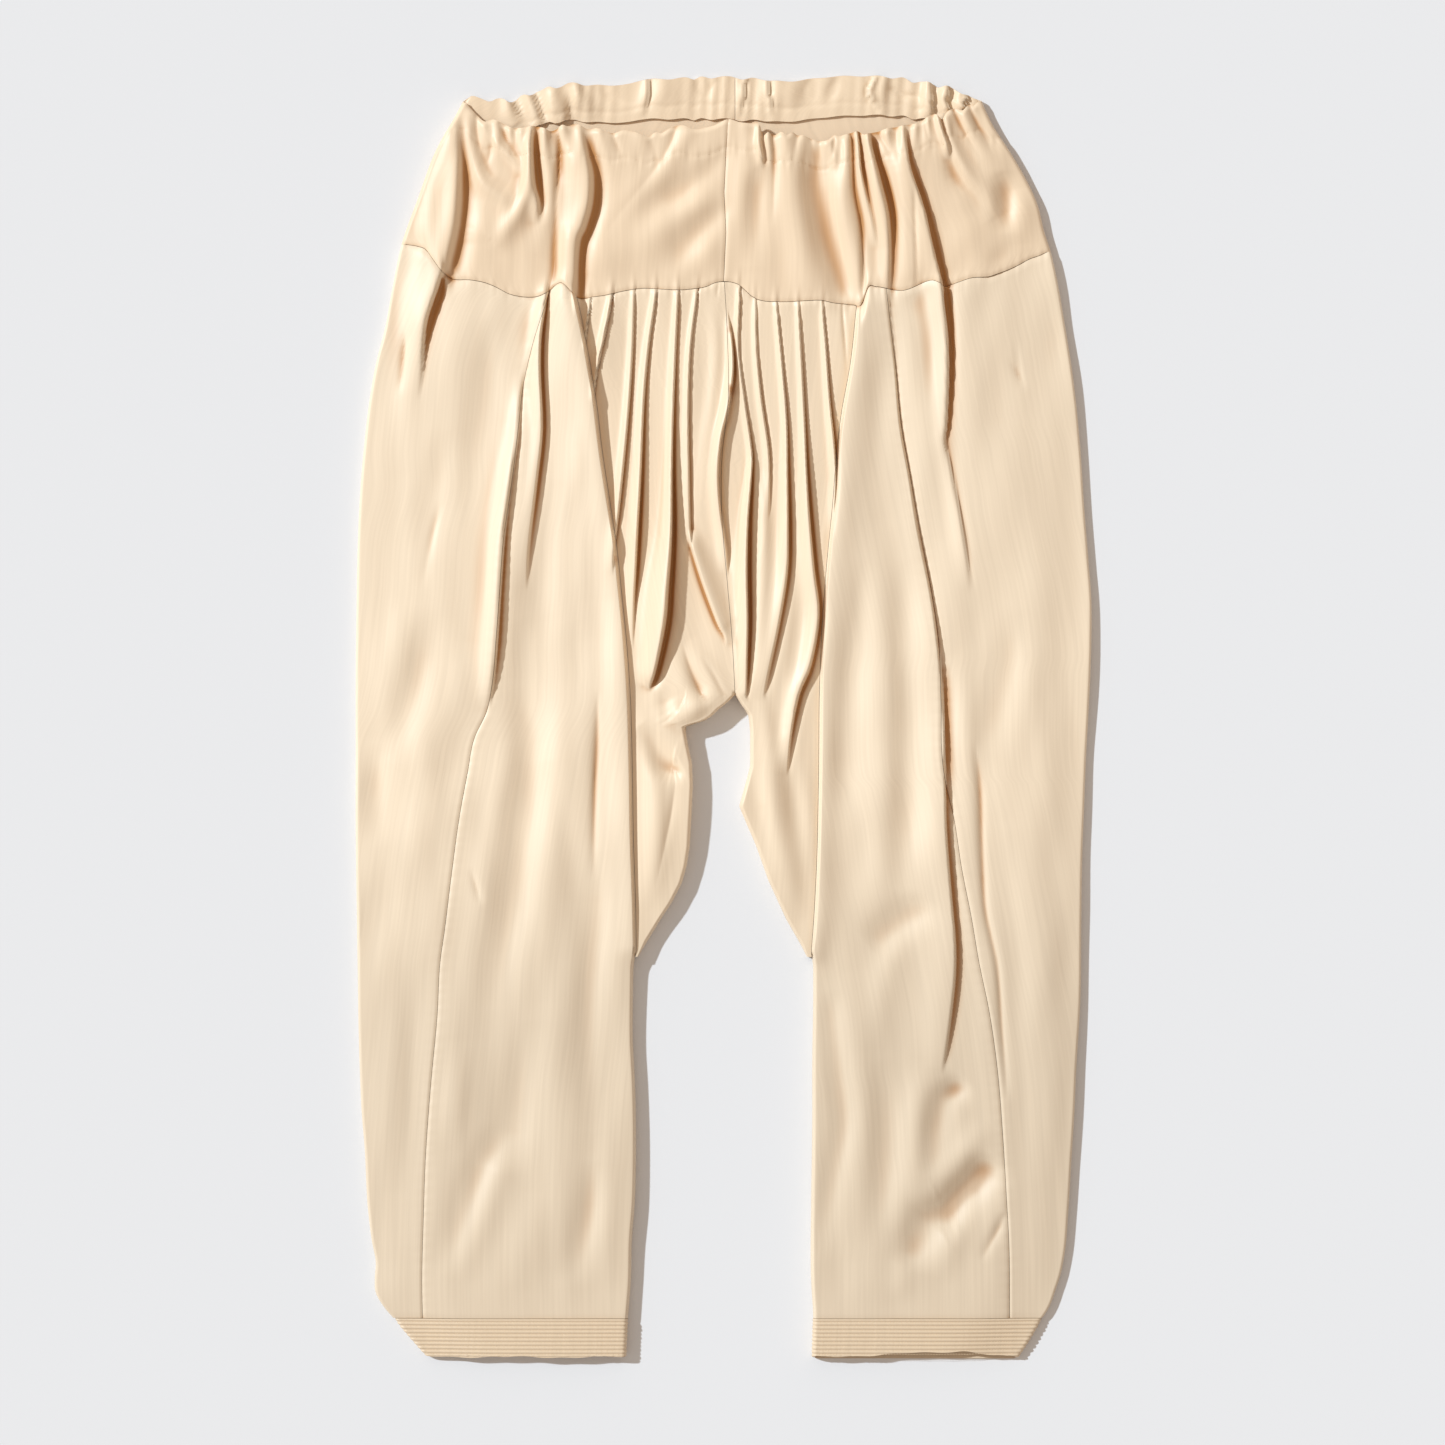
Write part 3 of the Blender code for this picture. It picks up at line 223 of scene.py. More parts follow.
beltFoldsRight = [
    ("ridge", [(16.5, 37.9, 1.2, 3), (18.8, 54.4, 1.5, 4.5), (15.8, 80.6, 2, 6), (14.2, 118.1, 1.5, 6.8),
        (15.8, 148.1, 0, 6.8)]),
    ("softRight", [(27.8, 39.4, 2, 2.2), (28.5, 50.6, 3.5, 3), (30, 60.4, 2.5, 3), (30.8, 69.4, 0, 3)]),
    ("valley", [(25.5, 69.4, 0, 4.5), (24, 88.1, 2.6, 5.2), (22.5, 114.4, 2.4, 6), (21, 142.9, 0, 6)]),
    ("crease", [(36.8, 43.9, 2, 1.5), (38.2, 58.1, 2.5, 1.9), (38.2, 73.1, 2, 2.2), (37.5, 95.6, 1, 2.2),
        (36.8, 112.9, 0, 2.2)]),
    ("ridge", [(33, 43.1, 2, 2.2), (33.8, 54.4, 2.5, 3), (33.8, 69.4, 0, 3)]),
    ("crease", [(56.2, 43.9, 1.5, 1.5), (54, 54.4, 1, 1.9), (52.5, 65.6, 0, 2.2)]),
    ("ridge", [(46.5, 45.4, 1.5, 3.8), (52.5, 65.6, 2.5, 7.5), (55.5, 101.6, 3.4, 9), (62.2, 138.4, 3, 9),
        (66.8, 166.9, 2, 8.2)]),
    ("crease", [(66, 46.9, 1.5, 1.5), (67.5, 55.9, 1, 2.2), (69, 65.6, 0, 2.2)]),
    ("valley", [(69, 46.9, 1, 3.8), (69, 65.6, 4.5, 6), (69, 82.9, 6, 6.8), (74.2, 106.9, 6, 7.5),
        (83.2, 133.9, 6, 7.5), (93.8, 160.9, 5, 6.8), (96.8, 174.4, 5, 6.8)]),
    ("ridge", [(79.5, 49.1, 2, 2.2), (81.8, 58.1, 2.5, 2.2), (84, 69.4, 0, 3)]),
    ("crease", [(83.2, 47.6, 2, 1.1), (82.5, 55.9, 2, 1.5), (80.2, 66.4, 0, 1.9)]),
    ("ridge", [(89.2, 45.4, 2, 2.2), (92.2, 65.6, 3, 3.8), (90, 91.9, 3.5, 5.2), (95.2, 125.6, 3.5, 6),
        (100.5, 166.9, 3, 5.2)]),
    ("crease", [(95.2, 42.4, 3, 1.1), (97.5, 53.6, 3, 1.5), (98.2, 82.9, 3, 1.5), (103.5, 111.4, 3, 1.7),
        (105, 144.4, 3, 1.7), (105, 174.4, 3, 1.7)]),
    ("softRight", [(100.5, 40.9, 2.5, 1.5), (102, 54.4, 4, 2.2), (103.5, 70.9, 4, 2.2), (107.2, 88.1, 2.5, 3),
        (113.2, 114.4, 1.5, 3), (115.5, 129.4, 0, 3)]),
    ("ridge", [(107.2, 43.9, 2, 1.9), (108.8, 55.9, 3, 2.2), (111.8, 76.9, 3.2, 3), (116.2, 103.1, 2.5, 3.8),
        (119.2, 129.4, 0, 4.5)]),
    ("softRight", [(108.8, 42.4, 2, 2.2), (111.8, 55.9, 3.5, 3), (117.8, 78.4, 5, 4.5), (123.8, 103.1, 5, 5.2),
        (125.2, 129.4, 3.5, 5.2), (124.5, 159.4, 2, 4.5)]),
    ("crease", [(116.2, 42.4, 1.5, 1.1), (120.8, 50.6, 2, 1.5), (125.2, 60.4, 0, 1.5)]),
    ("ridge", [(122.2, 40.9, 1.5, 2.2), (126.8, 61.9, 2.5, 3.8), (133.5, 91.9, 3.5, 5.2),
        (136.5, 125.6, 3.5, 6), (138.8, 159.4, 3, 6)]),
    ("crease", [(142.5, 82.9, 0, 1.1), (143.2, 99.4, 1.3, 1.1), (144, 125.6, 1.3, 1.1),
        (144.8, 154.9, 0.8, 1.1)]),
    ("edgeRight", [(134.2, 37.9, 1, 3.8), (136.5, 54.4, 4, 5.2), (139.5, 70.9, 5.5, 6.8),
        (149.2, 99.4, 6, 8.2), (156, 128.6, 6, 9), (163.5, 157.9, 6, 9), (165, 166.9, 6, 9)]),
    ("ridge", [(151.5, 30.4, 1.5, 2.2), (153.8, 43.1, 2, 2.2), (156, 54.4, 0, 3)]),
    ("crease", [(150.8, 31.9, 2, 1.1), (152.2, 41.6, 2, 1.5), (154.5, 50.6, 0, 1.5)]),
    ("softRight", [(161.2, 28.9, 2, 1.9), (164.2, 40.9, 3.5, 2.2), (168.8, 54.4, 2.5, 3), (170.2, 63.4, 0, 3)]),
    ("ridge", [(166.5, 31.9, 2, 2.2), (170.2, 49.9, 3.5, 3), (183.8, 76.9, 3.4, 4.5), (198.8, 94.1, 2, 6),
        (206.2, 105.4, 0, 6.8)]),
    ("valley", [(167.2, 54.4, 0, 3), (174, 73.9, 3, 3.8), (189.8, 91.1, 2.6, 4.5), (200.2, 106.9, 0, 4.5)]),
    ("ridge", [(177.8, 22.9, 2, 2.2), (183.8, 37.9, 2.5, 3), (194.2, 55.9, 2, 4.5), (206.2, 75.4, 0, 6)]),
    ("crease", [(172.5, 25.9, 2, 1.1), (179.2, 39.4, 2, 1.5), (186.8, 51.4, 1, 1.9), (192.8, 61.9, 0, 2.2)]),
    ("crease", [(183.8, 21.4, 2, 1.1), (189, 33.4, 2, 1.5), (196.5, 46.9, 1, 1.9), (201.8, 58.9, 0, 2.2)]),
    ("valley", [(210, 70.9, 0, 4.5), (210.8, 84.4, 3.2, 5.2), (211.5, 100.9, 3, 5.2), (211.5, 118.1, 0, 5.2)]),
    ("ridge", [(189, 103.1, 0, 6.8), (181.5, 121.9, 2, 7.5), (179.2, 145.9, 0, 7.5)]),
    ("ridge", [(221.2, 84.4, 0, 5.2), (223.5, 103.1, 2, 6), (224.2, 125.6, 0, 6)]),
    ("valley", [(219, 121.9, 0, 4.5), (207.8, 135.4, 1.2, 4.5), (196.5, 141.4, 0, 4.5)]),
]

casingFolds = [
    ("crease", [(-156.8, 15.4, 1.5, 1.5), (-153.8, 22.9, 1.5, 1.9), (-150, 31.1, 0.5, 1.9)]),
    ("ridge", [(-161.2, 16.9, 1.5, 2.2), (-159, 25.9, 1.5, 3), (-156.8, 34.9, 1, 3)]),
    ("ridge", [(-146.2, 12.4, 2, 2.2), (-142.5, 22.9, 2, 3), (-138.8, 33.4, 1, 3)]),
    ("crease", [(-140.2, 11.6, 2, 1.5), (-137.2, 22.9, 2, 1.9), (-133.5, 32.6, 1, 1.9),
        (-130.5, 43.1, 0, 2.2)]),
    ("ridge", [(-131.2, 7.9, 2, 3), (-128.2, 19.9, 2.2, 3.8), (-125.2, 31.9, 1.2, 3.8)]),
    ("ridge", [(-123, 7.9, 1.4, 3.6), (-120.8, 19.9, 2.1, 4.6), (-117.8, 33.4, 2.1, 4.6), (-114.8, 46.9, 1.4, 4.6)]),
    ("ridge", [(-111.8, 4.9, 2.2, 3), (-108, 15.4, 2.6, 3.8), (-101.2, 22.9, 1.5, 4.5), (-92.2, 28.9, 0, 4.5)]),
    ("valley", [(-117.8, 9.4, 1, 2.2), (-116.2, 21.4, 2, 3), (-113.2, 33.4, 2.4, 4.5), (-111, 46.9, 2, 5.2)]),
    ("crease", [(-91.5, 4.9, 0.8, 2.2), (-87, 12.4, 1.2, 3), (-75.8, 18.4, 0.6, 3), (-65.2, 19.9, 0, 3)]),
    ("rollRight", [(-54.8, 1.9, 1.2, 3), (-55.5, 12.4, 1.6, 3.8), (-57.8, 22.9, 0.8, 3.8),
        (-58.5, 30.4, 0, 3.8)]),
    ("ridge", [(-43.5, 1.1, 0.8, 3.8), (-45, 13.1, 1, 4.5), (-45.8, 24.4, 0, 4.5)]),
    ("crease", [(-19.5, 0.4, 1, 1.5), (-17.2, 9.4, 1, 1.9), (-14.2, 16.9, 0, 2.2)]),
    ("crease", [(-7.5, 4.9, 0.8, 1.1), (-11.2, 13.1, 0.8, 1.5), (-13.5, 16.9, 0, 1.5)]),
    ("rollRight", [(18, 0.4, 1, 2.2), (16.5, 10.9, 1.5, 3), (15, 22.9, 0.8, 3), (14.2, 30.4, 0, 3)]),
    ("rollRight", [(33.8, 1.9, 1, 2.2), (35.2, 12.4, 1.6, 3), (36.8, 22.9, 0.8, 3), (37.5, 30.4, 0, 3)]),
    ("ridge", [(44.2, 3.4, 0.8, 4.5), (45.8, 13.9, 1, 5.2), (47.2, 24.4, 0, 5.2)]),
    ("valley", [(66.8, 1.1, 0.8, 3), (64.5, 10.9, 1.4, 3.8), (62.2, 22.1, 0.6, 3.8), (61.5, 30.4, 0, 3.8)]),
    ("valley", [(86.2, -0.4, 0.6, 2.2), (81.8, 10.9, 1.2, 3), (77.2, 22.9, 0, 3)]),
    ("rollLeft", [(113.2, 0.4, 1.5, 2.2), (108, 10.9, 2, 3), (111, 18.4, 1.5, 3), (115.5, 25.9, 0, 3)]),
    ("ridge", [(120.8, 1.9, 1.4, 3), (117.8, 12.4, 1.6, 3.8), (120.8, 22.9, 0.8, 3.8)]),
    ("crease", [(127.5, 9.4, 1, 1.5), (135, 13.9, 1.4, 1.5), (144, 14.6, 0.8, 1.5), (148.5, 18.4, 0, 1.5)]),
    ("edgeRight", [(154.5, 4.1, 2, 3), (155.2, 15.4, 3, 3.8), (156, 25.9, 2, 3.8), (157.5, 34.9, 0, 3.8)]),
    ("ridge", [(164.2, 6.4, 1.8, 2.2), (165, 16.9, 2, 3), (165.8, 27.4, 1, 3)]),
    ("rollRight", [(170.2, 7.9, 2, 2.2), (168, 16.9, 2.5, 3), (169.5, 25.9, 1.5, 3)]),
    ("ridge", [(177.8, 12.4, 2, 2.2), (175.5, 19.9, 2.2, 2.2), (176.2, 27.4, 1, 2.2)]),
    ("rollRight", [(183.8, 14.6, 2, 2.2), (180.8, 21.4, 2.5, 2.2), (181.5, 28.9, 1, 2.2)]),
]

sideFoldsLeft = [
    ("rollRight", [(-205.5, 138.4, 5, 9), (-212.2, 159.4, 5.5, 9), (-219.8, 181.9, 5, 8.2),
        (-222.8, 200.6, 3, 6.8), (-224.2, 220.9, 1.2, 6), (-227.2, 241.9, 0, 6)]),
    ("ridge", [(-224.2, 138.4, 3, 6), (-231.8, 166.9, 3, 6), (-233.2, 200.6, 2.8, 6), (-234, 241.9, 2, 6.8),
        (-235.5, 298.1, 0, 7.5)]),
    ("crease", [(-237.8, 189.4, 0, 1.5), (-239.2, 205.9, 2, 1.9), (-240.8, 223.1, 1.6, 1.9),
        (-242.2, 238.1, 0, 2.2)]),
    ("ridge", [(-189.8, 166.9, 0, 7.5), (-192.8, 196.9, 1.8, 9.8), (-195.8, 241.9, 2, 11.2),
        (-203.2, 294.4, 1.2, 12), (-207.8, 331.9, 0, 12)]),
    ("valley", [(-174.8, 181.9, 0, 6.8), (-179.2, 215.6, 1.8, 7.5), (-183.8, 256.9, 2, 9),
        (-189.8, 294.4, 1.4, 9), (-195.8, 331.9, 0, 9)]),
    ("valley", [(-206.2, 264.4, 0, 6.8), (-212.2, 294.4, 1.8, 7.5), (-219.8, 331.9, 1.5, 8.2),
        (-224.2, 361.9, 0, 8.2)]),
    ("crease", [(-210.8, 316.9, 0, 2.2), (-216.8, 339.4, 1.2, 2.2), (-221.2, 361.9, 0.8, 3),
        (-225.8, 384.4, 0, 3)]),
    ("valley", [(-215.2, 399.4, 0, 7.5), (-224.2, 433.1, 2, 8.2), (-238.5, 478.1, 2.2, 8.2),
        (-249.8, 513.4, 0, 7.5)]),
    ("ridge", [(-234.8, 391.9, 0, 9), (-243.8, 429.4, 1.5, 9.8), (-254.2, 474.4, 1.2, 9.8),
        (-258.8, 496.9, 0, 9)]),
    ("valley", [(-258, 500.6, 0, 5.2), (-259.5, 526.9, 2.2, 6), (-258.8, 549.4, 1.6, 6),
        (-257.2, 575.6, 0, 6)]),
    ("ridge", [(-212.2, 436.9, 0, 9), (-221.2, 496.9, 2, 10.5), (-227.2, 564.4, 1.8, 11.2),
        (-231, 631.9, 0, 10.5)]),
    ("ridge", [(-191.2, 421.9, 0, 6), (-198.8, 466.9, 1.5, 6.8), (-208.5, 519.4, 0, 7.5)]),
    ("ridge", [(-242.2, 616.9, 0, 10.5), (-248.2, 691.9, 1.6, 12), (-248.2, 766.9, 1.4, 12),
        (-243.8, 834.4, 0, 10.5)]),
    ("valley", [(-227.2, 661.9, 0, 6), (-233.2, 721.9, 1.5, 6.8), (-236.2, 789.4, 1.2, 6.8),
        (-236.2, 841.9, 0, 6)]),
    ("rollRight", [(-130.5, 151.9, 2, 3.8), (-131.2, 166.9, 5, 5.2), (-135, 193.1, 6, 6),
        (-135.8, 220.9, 6, 6), (-134.2, 263.6, 5, 6), (-138, 301.9, 4, 6), (-144, 350.6, 2, 6),
        (-146.2, 384.4, 0, 6)]),
    ("ridge", [(-147, 234.4, 0, 4.5), (-149.2, 271.9, 3, 5.2), (-152.2, 316.9, 3.4, 6),
        (-157.5, 361.9, 3.2, 6), (-161.2, 406.9, 2.4, 6), (-163.5, 451.9, 0, 6)]),
    ("edgeRight", [(-150.8, 220.9, 0, 3), (-152.2, 241.9, 2, 3.8), (-154.5, 272.6, 4, 4.5),
        (-159.8, 307.1, 5, 5.2), (-164.2, 343.1, 5.5, 6), (-167.2, 384.4, 6, 6), (-169.5, 421.9, 5.5, 6),
        (-172.5, 451.9, 3.5, 5.2), (-175.5, 472.9, 0, 4.5)]),
    ("ridge", [(-162.8, 256.9, 0, 3.8), (-165, 301.9, 1.5, 4.5), (-169.5, 346.9, 2, 5.2),
        (-173.2, 391.9, 2.2, 5.2), (-177, 436.9, 1.2, 5.2), (-180.8, 474.4, 0, 5.2)]),
]

legFoldsLeft = [
    ("ridge", [(-122.2, 160.9, 3, 6), (-120.8, 189.4, 3.6, 7.5), (-117.8, 241.9, 3.4, 9),
        (-113.2, 301.9, 3, 9.8), (-107.2, 361.9, 2, 10.5), (-99.8, 421.9, 0, 10.5)]),
    ("edgeRight", [(-117.8, 150.4, 5, 9), (-113.2, 162.4, 6, 9.8), (-106.5, 191.6, 6.5, 10.5),
        (-101.2, 220.9, 7, 10.5), (-97.5, 243.4, 7, 10.5), (-93, 280.9, 6.5, 10.5), (-87.8, 315.4, 5.5, 9.8),
        (-82.5, 349.9, 4.5, 9), (-78.8, 384.4, 4, 8.2), (-75, 421.9, 4, 7.5), (-72, 466.1, 4, 7.5),
        (-70.5, 523.1, 4, 7.5), (-69.8, 569.6, 4, 7.5), (-68.2, 616.9, 3.5, 6.8), (-67.5, 650.6, 2.5, 6)]),
    ("valley", [(-128.2, 301.9, 0, 6.8), (-132.8, 361.9, 2.4, 7.5), (-135.8, 421.9, 2.6, 9),
        (-133.5, 466.9, 2, 9), (-129.8, 511.9, 0, 9)]),
    ("valley", [(-150.8, 406.9, 0, 6), (-150, 466.9, 3, 6.8), (-144.8, 511.9, 3.2, 7.5),
        (-147.8, 564.4, 3, 8.2), (-155.2, 609.4, 2.8, 9), (-164.2, 654.4, 2.2, 9), (-167.2, 699.4, 0, 9)]),
    ("ridge", [(-126, 406.9, 0, 7.5), (-122.2, 481.9, 2.6, 9), (-125.2, 556.9, 2.8, 10.5),
        (-133.5, 631.9, 2.2, 11.2), (-137.2, 691.9, 0, 11.2)]),
    ("ridge", [(-163.5, 496.9, 0, 5.2), (-168.8, 541.9, 2, 6.8), (-177.8, 594.4, 2, 7.5),
        (-185.2, 654.4, 1.6, 8.2), (-189.8, 721.9, 0, 9)]),
    ("crease", [(-93.8, 459.4, 0, 1.5), (-94.5, 496.9, 2.2, 1.9), (-96, 534.4, 2.6, 1.9),
        (-96.8, 568.1, 1.8, 2.2), (-96.8, 601.9, 0, 2.2)]),
    ("ridge", [(-99.8, 391.9, 0, 6), (-98.2, 436.9, 1.6, 6.8), (-101.2, 496.9, 2, 6.8),
        (-102.8, 564.4, 1.6, 7.5), (-99.8, 616.9, 0, 7.5)]),
    ("ridge", [(-83.2, 391.9, 0, 4.5), (-83.2, 451.9, 1.8, 5.2), (-83.2, 526.9, 2.2, 6),
        (-82.5, 601.9, 2, 6.8), (-83.2, 676.9, 1, 7.5), (-84.8, 736.9, 0, 7.5)]),
    ("valley", [(-92.2, 579.4, 0, 6), (-95.2, 631.9, 2, 6.8), (-99.8, 684.4, 2.2, 7.5),
        (-101.2, 736.9, 2, 8.2), (-99.8, 789.4, 0, 8.2)]),
    ("ridge", [(-111, 256.9, 0, 3), (-108.8, 294.4, 0.8, 3.8), (-111.8, 331.9, -1, 4.5),
        (-113.2, 369.4, -1.2, 5.2), (-111.8, 406.9, 0, 5.2)]),
    ("ridge", [(-122.2, 661.9, 0, 9), (-125.2, 721.9, 2, 10.5), (-122.2, 781.9, 2.2, 10.5),
        (-125.2, 841.9, 1.6, 10.5), (-128.2, 894.4, 0, 10.5)]),
    ("valley", [(-146.2, 706.9, 0, 7.5), (-152.2, 751.9, 2.4, 9), (-156.8, 781.9, 3, 9.8),
        (-162.8, 804.4, 2.4, 9), (-167.2, 819.4, 0, 7.5)]),
    ("ridge", [(-158.2, 789.4, 0, 5.9), (-167.2, 815.6, 2.4, 6.8), (-177.8, 845.6, 2.6, 7.8),
        (-189.8, 875.6, 2.1, 7.8), (-200.2, 901.9, 0, 7.8)]),
    ("valley", [(-167.2, 785.6, 0, 6.8), (-177.8, 811.9, 2.4, 7.8), (-189.8, 841.9, 2.4, 8.8),
        (-201, 872.6, 1.9, 8.8), (-209.2, 898.1, 0, 7.8)]),
    ("valley", [(-96.8, 811.9, 0, 6), (-100.5, 845.6, 2.2, 6.8), (-107.2, 875.6, 2, 6.8),
        (-114.8, 905.6, 0, 6.8)]),
    ("ridge", [(-83.2, 759.4, 0, 6.8), (-86.2, 811.9, 1.6, 7.5), (-89.2, 864.4, 1.6, 7.5),
        (-92.2, 909.4, 0, 7.5)]),
    ("ridge", [(-140.2, 834.4, 0, 7.5), (-146.2, 871.9, 1.6, 9), (-152.2, 909.4, 0, 9)]),
    ("ridge", [(-195.8, 721.9, 0, 6), (-200.2, 766.9, 1.8, 6.8), (-203.2, 804.4, 0, 6.8)]),
    ("crease", [(-189, 592.9, 0, 1.5), (-184.5, 607.9, 1.6, 1.9), (-180.8, 620.6, 0, 2.2)]),
]

pleatsLeft = [
    ("rollRight", [(-99, 155.6, 3, 1.5), (-99, 169.1, 4, 1.5), (-101.2, 185.6, 4, 1.5), (-102.8, 201.4, 2, 1.1),
        (-103.5, 205.9, 0, 1.1)]),
    ("rollRight", [(-81.8, 153.4, 3, 1.9), (-82.5, 165.4, 4.5, 2.2), (-87.8, 193.1, 4.5, 2.6),
        (-93.8, 220.9, 4, 2.2), (-96, 238.1, 2, 1.9), (-96.8, 245.6, 0, 1.9)]),
    ("rollRight", [(-65.2, 151.9, 2, 1.9), (-66, 166.9, 3, 2.2), (-67.5, 212.6, 3.2, 3),
        (-71.2, 264.4, 3.2, 3.1), (-77.2, 324.4, 3, 3.5), (-81, 354.4, 2, 3.5), (-81.8, 373.1, 0, 3.7)]),
    ("rollRight", [(-48.8, 150.4, 2.5, 1.9), (-49.5, 163.1, 3.5, 2.2), (-54.8, 200.6, 3.6, 3),
        (-58.5, 241.9, 4, 3.4), (-60.8, 297.4, 5, 4), (-63, 339.4, 6, 4.3), (-64.5, 369.4, 4.5, 4.2),
        (-66, 395.6, 2, 3.8), (-66.8, 429.4, 0, 3.8)]),
    ("rollRight", [(-32.2, 150.4, 3, 1.9), (-33, 162.4, 4, 2.2), (-35.2, 211.9, 4, 3), (-36.8, 256.9, 5, 3.4),
        (-37.5, 297.4, 6.5, 4), (-37.5, 343.1, 9, 6), (-39.8, 384.4, 10, 8.8), (-42, 410.6, 10, 9.5),
        (-49.5, 445.9, 7, 7.6), (-54.8, 459.4, 0, 6.4)]),
    ("rollRight", [(-17.2, 150.4, 2, 1.5), (-18.8, 162.4, 3, 1.9), (-24, 204.4, 3.4, 2.2),
        (-25.5, 251.6, 3, 2.6), (-24.8, 301.9, 2.6, 3.6), (-24, 339.4, 2, 3.8), (-23.2, 352.9, 0, 3.5)]),
    ("edgeLeft", [(-24.8, 339.4, 0, 3.3), (-23.2, 350.6, 4, 4.6), (-15, 377.6, 6, 6.2), (-3.8, 407.6, 5.5, 6.4),
        (1.5, 417.4, 3, 5.1), (3.8, 425.6, 0, 5.1)]),
    ("crease", [(-3, 151.9, 2, 0.8), (-3.8, 159.4, 2.2, 0.8), (-4.5, 166.9, 0, 0.8)]),
    ("rollRight", [(3.8, 175.9, 0, 2.2), (7.5, 200.6, 5, 3.4), (8.2, 223.1, 7, 4.1), (4.5, 249.4, 7.5, 4.5),
        (-0.8, 271.9, 7, 4.3), (-3, 298.1, 6.5, 4.4), (-1.5, 324.4, 5, 4.6), (3, 352.9, 3, 4.6),
        (4.5, 373.1, 0, 4.3)]),
    ("ridge", [(-8.2, 166.9, 0, 3), (-5.2, 204.4, 2.5, 3.4), (-7.5, 241.9, 3, 3.8), (-12.8, 279.4, 2.4, 4),
        (-14.2, 316.9, 1.2, 4.4), (-12.8, 346.9, 0, 5.1)]),
]

pleatsRight = [
    ("rollRight", [(12.8, 150.4, 3, 1.5), (12.8, 166.9, 3.6, 1.9), (12, 204.4, 3, 2.2), (16.5, 241.9, 2.5, 2.2),
        (21.8, 279.4, 3.5, 2.4), (21.8, 297.4, 5, 2.6), (19.5, 331.9, 6.5, 4.2), (18.8, 369.4, 7.5, 5.5),
        (19.5, 406.9, 7, 5.8), (18.8, 436.9, 5, 5.1), (18, 459.4, 2, 3.8), (17.2, 466.9, 0, 3.8)]),
    ("ridge", [(29.2, 294.4, 0, 2.2), (30.8, 331.9, 3, 3.1), (30, 369.4, 3.4, 4.2), (28.5, 406.9, 3, 4.4),
        (24.8, 444.4, 1.6, 4.4), (21.8, 466.9, 0, 3.8)]),
    ("rollRight", [(24.8, 151.9, 1.6, 1.5), (24.8, 171.4, 2.4, 1.9), (25.5, 204.4, 2.7, 2.2),
        (29.2, 241.9, 2.9, 2.6), (34.5, 279.4, 2.7, 2.8), (35.2, 309.4, 1.6, 2.8), (34.5, 331.9, 0, 3.1)]),
    ("rollRight", [(40.5, 153.4, 2, 1.5), (40.5, 171.4, 3, 1.9), (44.2, 211.9, 3.2, 2.2), (48, 256.9, 3.6, 2.6),
        (48.8, 297.4, 4.5, 3.5), (49.5, 343.1, 5.5, 5), (48.8, 373.1, 4.5, 6.2), (42.8, 410.6, 3.5, 6.4),
        (35.2, 445.9, 2.4, 6.4), (30.8, 466.9, 0, 5.8)]),
    ("rollRight", [(57, 153.4, 2, 1.5), (57, 174.4, 3, 1.9), (59.2, 211.9, 3.2, 2.6), (61.5, 256.9, 3.6, 3),
        (63, 294.4, 5, 3.4), (65.2, 328.1, 5.5, 4.7), (69, 369.4, 5.5, 6.1), (72.8, 403.9, 5.5, 7),
        (66.8, 440.6, 5, 7.6), (57.8, 463.1, 4.5, 7), (51.8, 493.1, 3.5, 6.4), (48.8, 523.1, 0, 5.8)]),
    ("valley", [(55.5, 361.9, 0, 3.6), (57.8, 406.9, 2, 5.1), (52.5, 451.9, 2.4, 5.8), (45.8, 489.4, 1.6, 5.1),
        (42.8, 511.9, 0, 5.1)]),
    ("rollRight", [(75, 154.9, 2, 1.5), (75, 175.1, 3, 1.9), (77.2, 200.6, 3.2, 2.2), (80.2, 241.9, 4, 2.6),
        (84, 279.4, 5, 3.2), (84.8, 301.9, 4.5, 3.1), (83.2, 328.1, 2, 3.1), (81.8, 346.9, 0, 3.4)]),
    ("crease", [(89.2, 154.9, 2, 0.8), (89.2, 172.9, 2.5, 0.9), (90.8, 193.9, 2.5, 1.1), (92.2, 211.9, 1, 1.1),
        (93, 226.9, 0, 1.1)]),
]

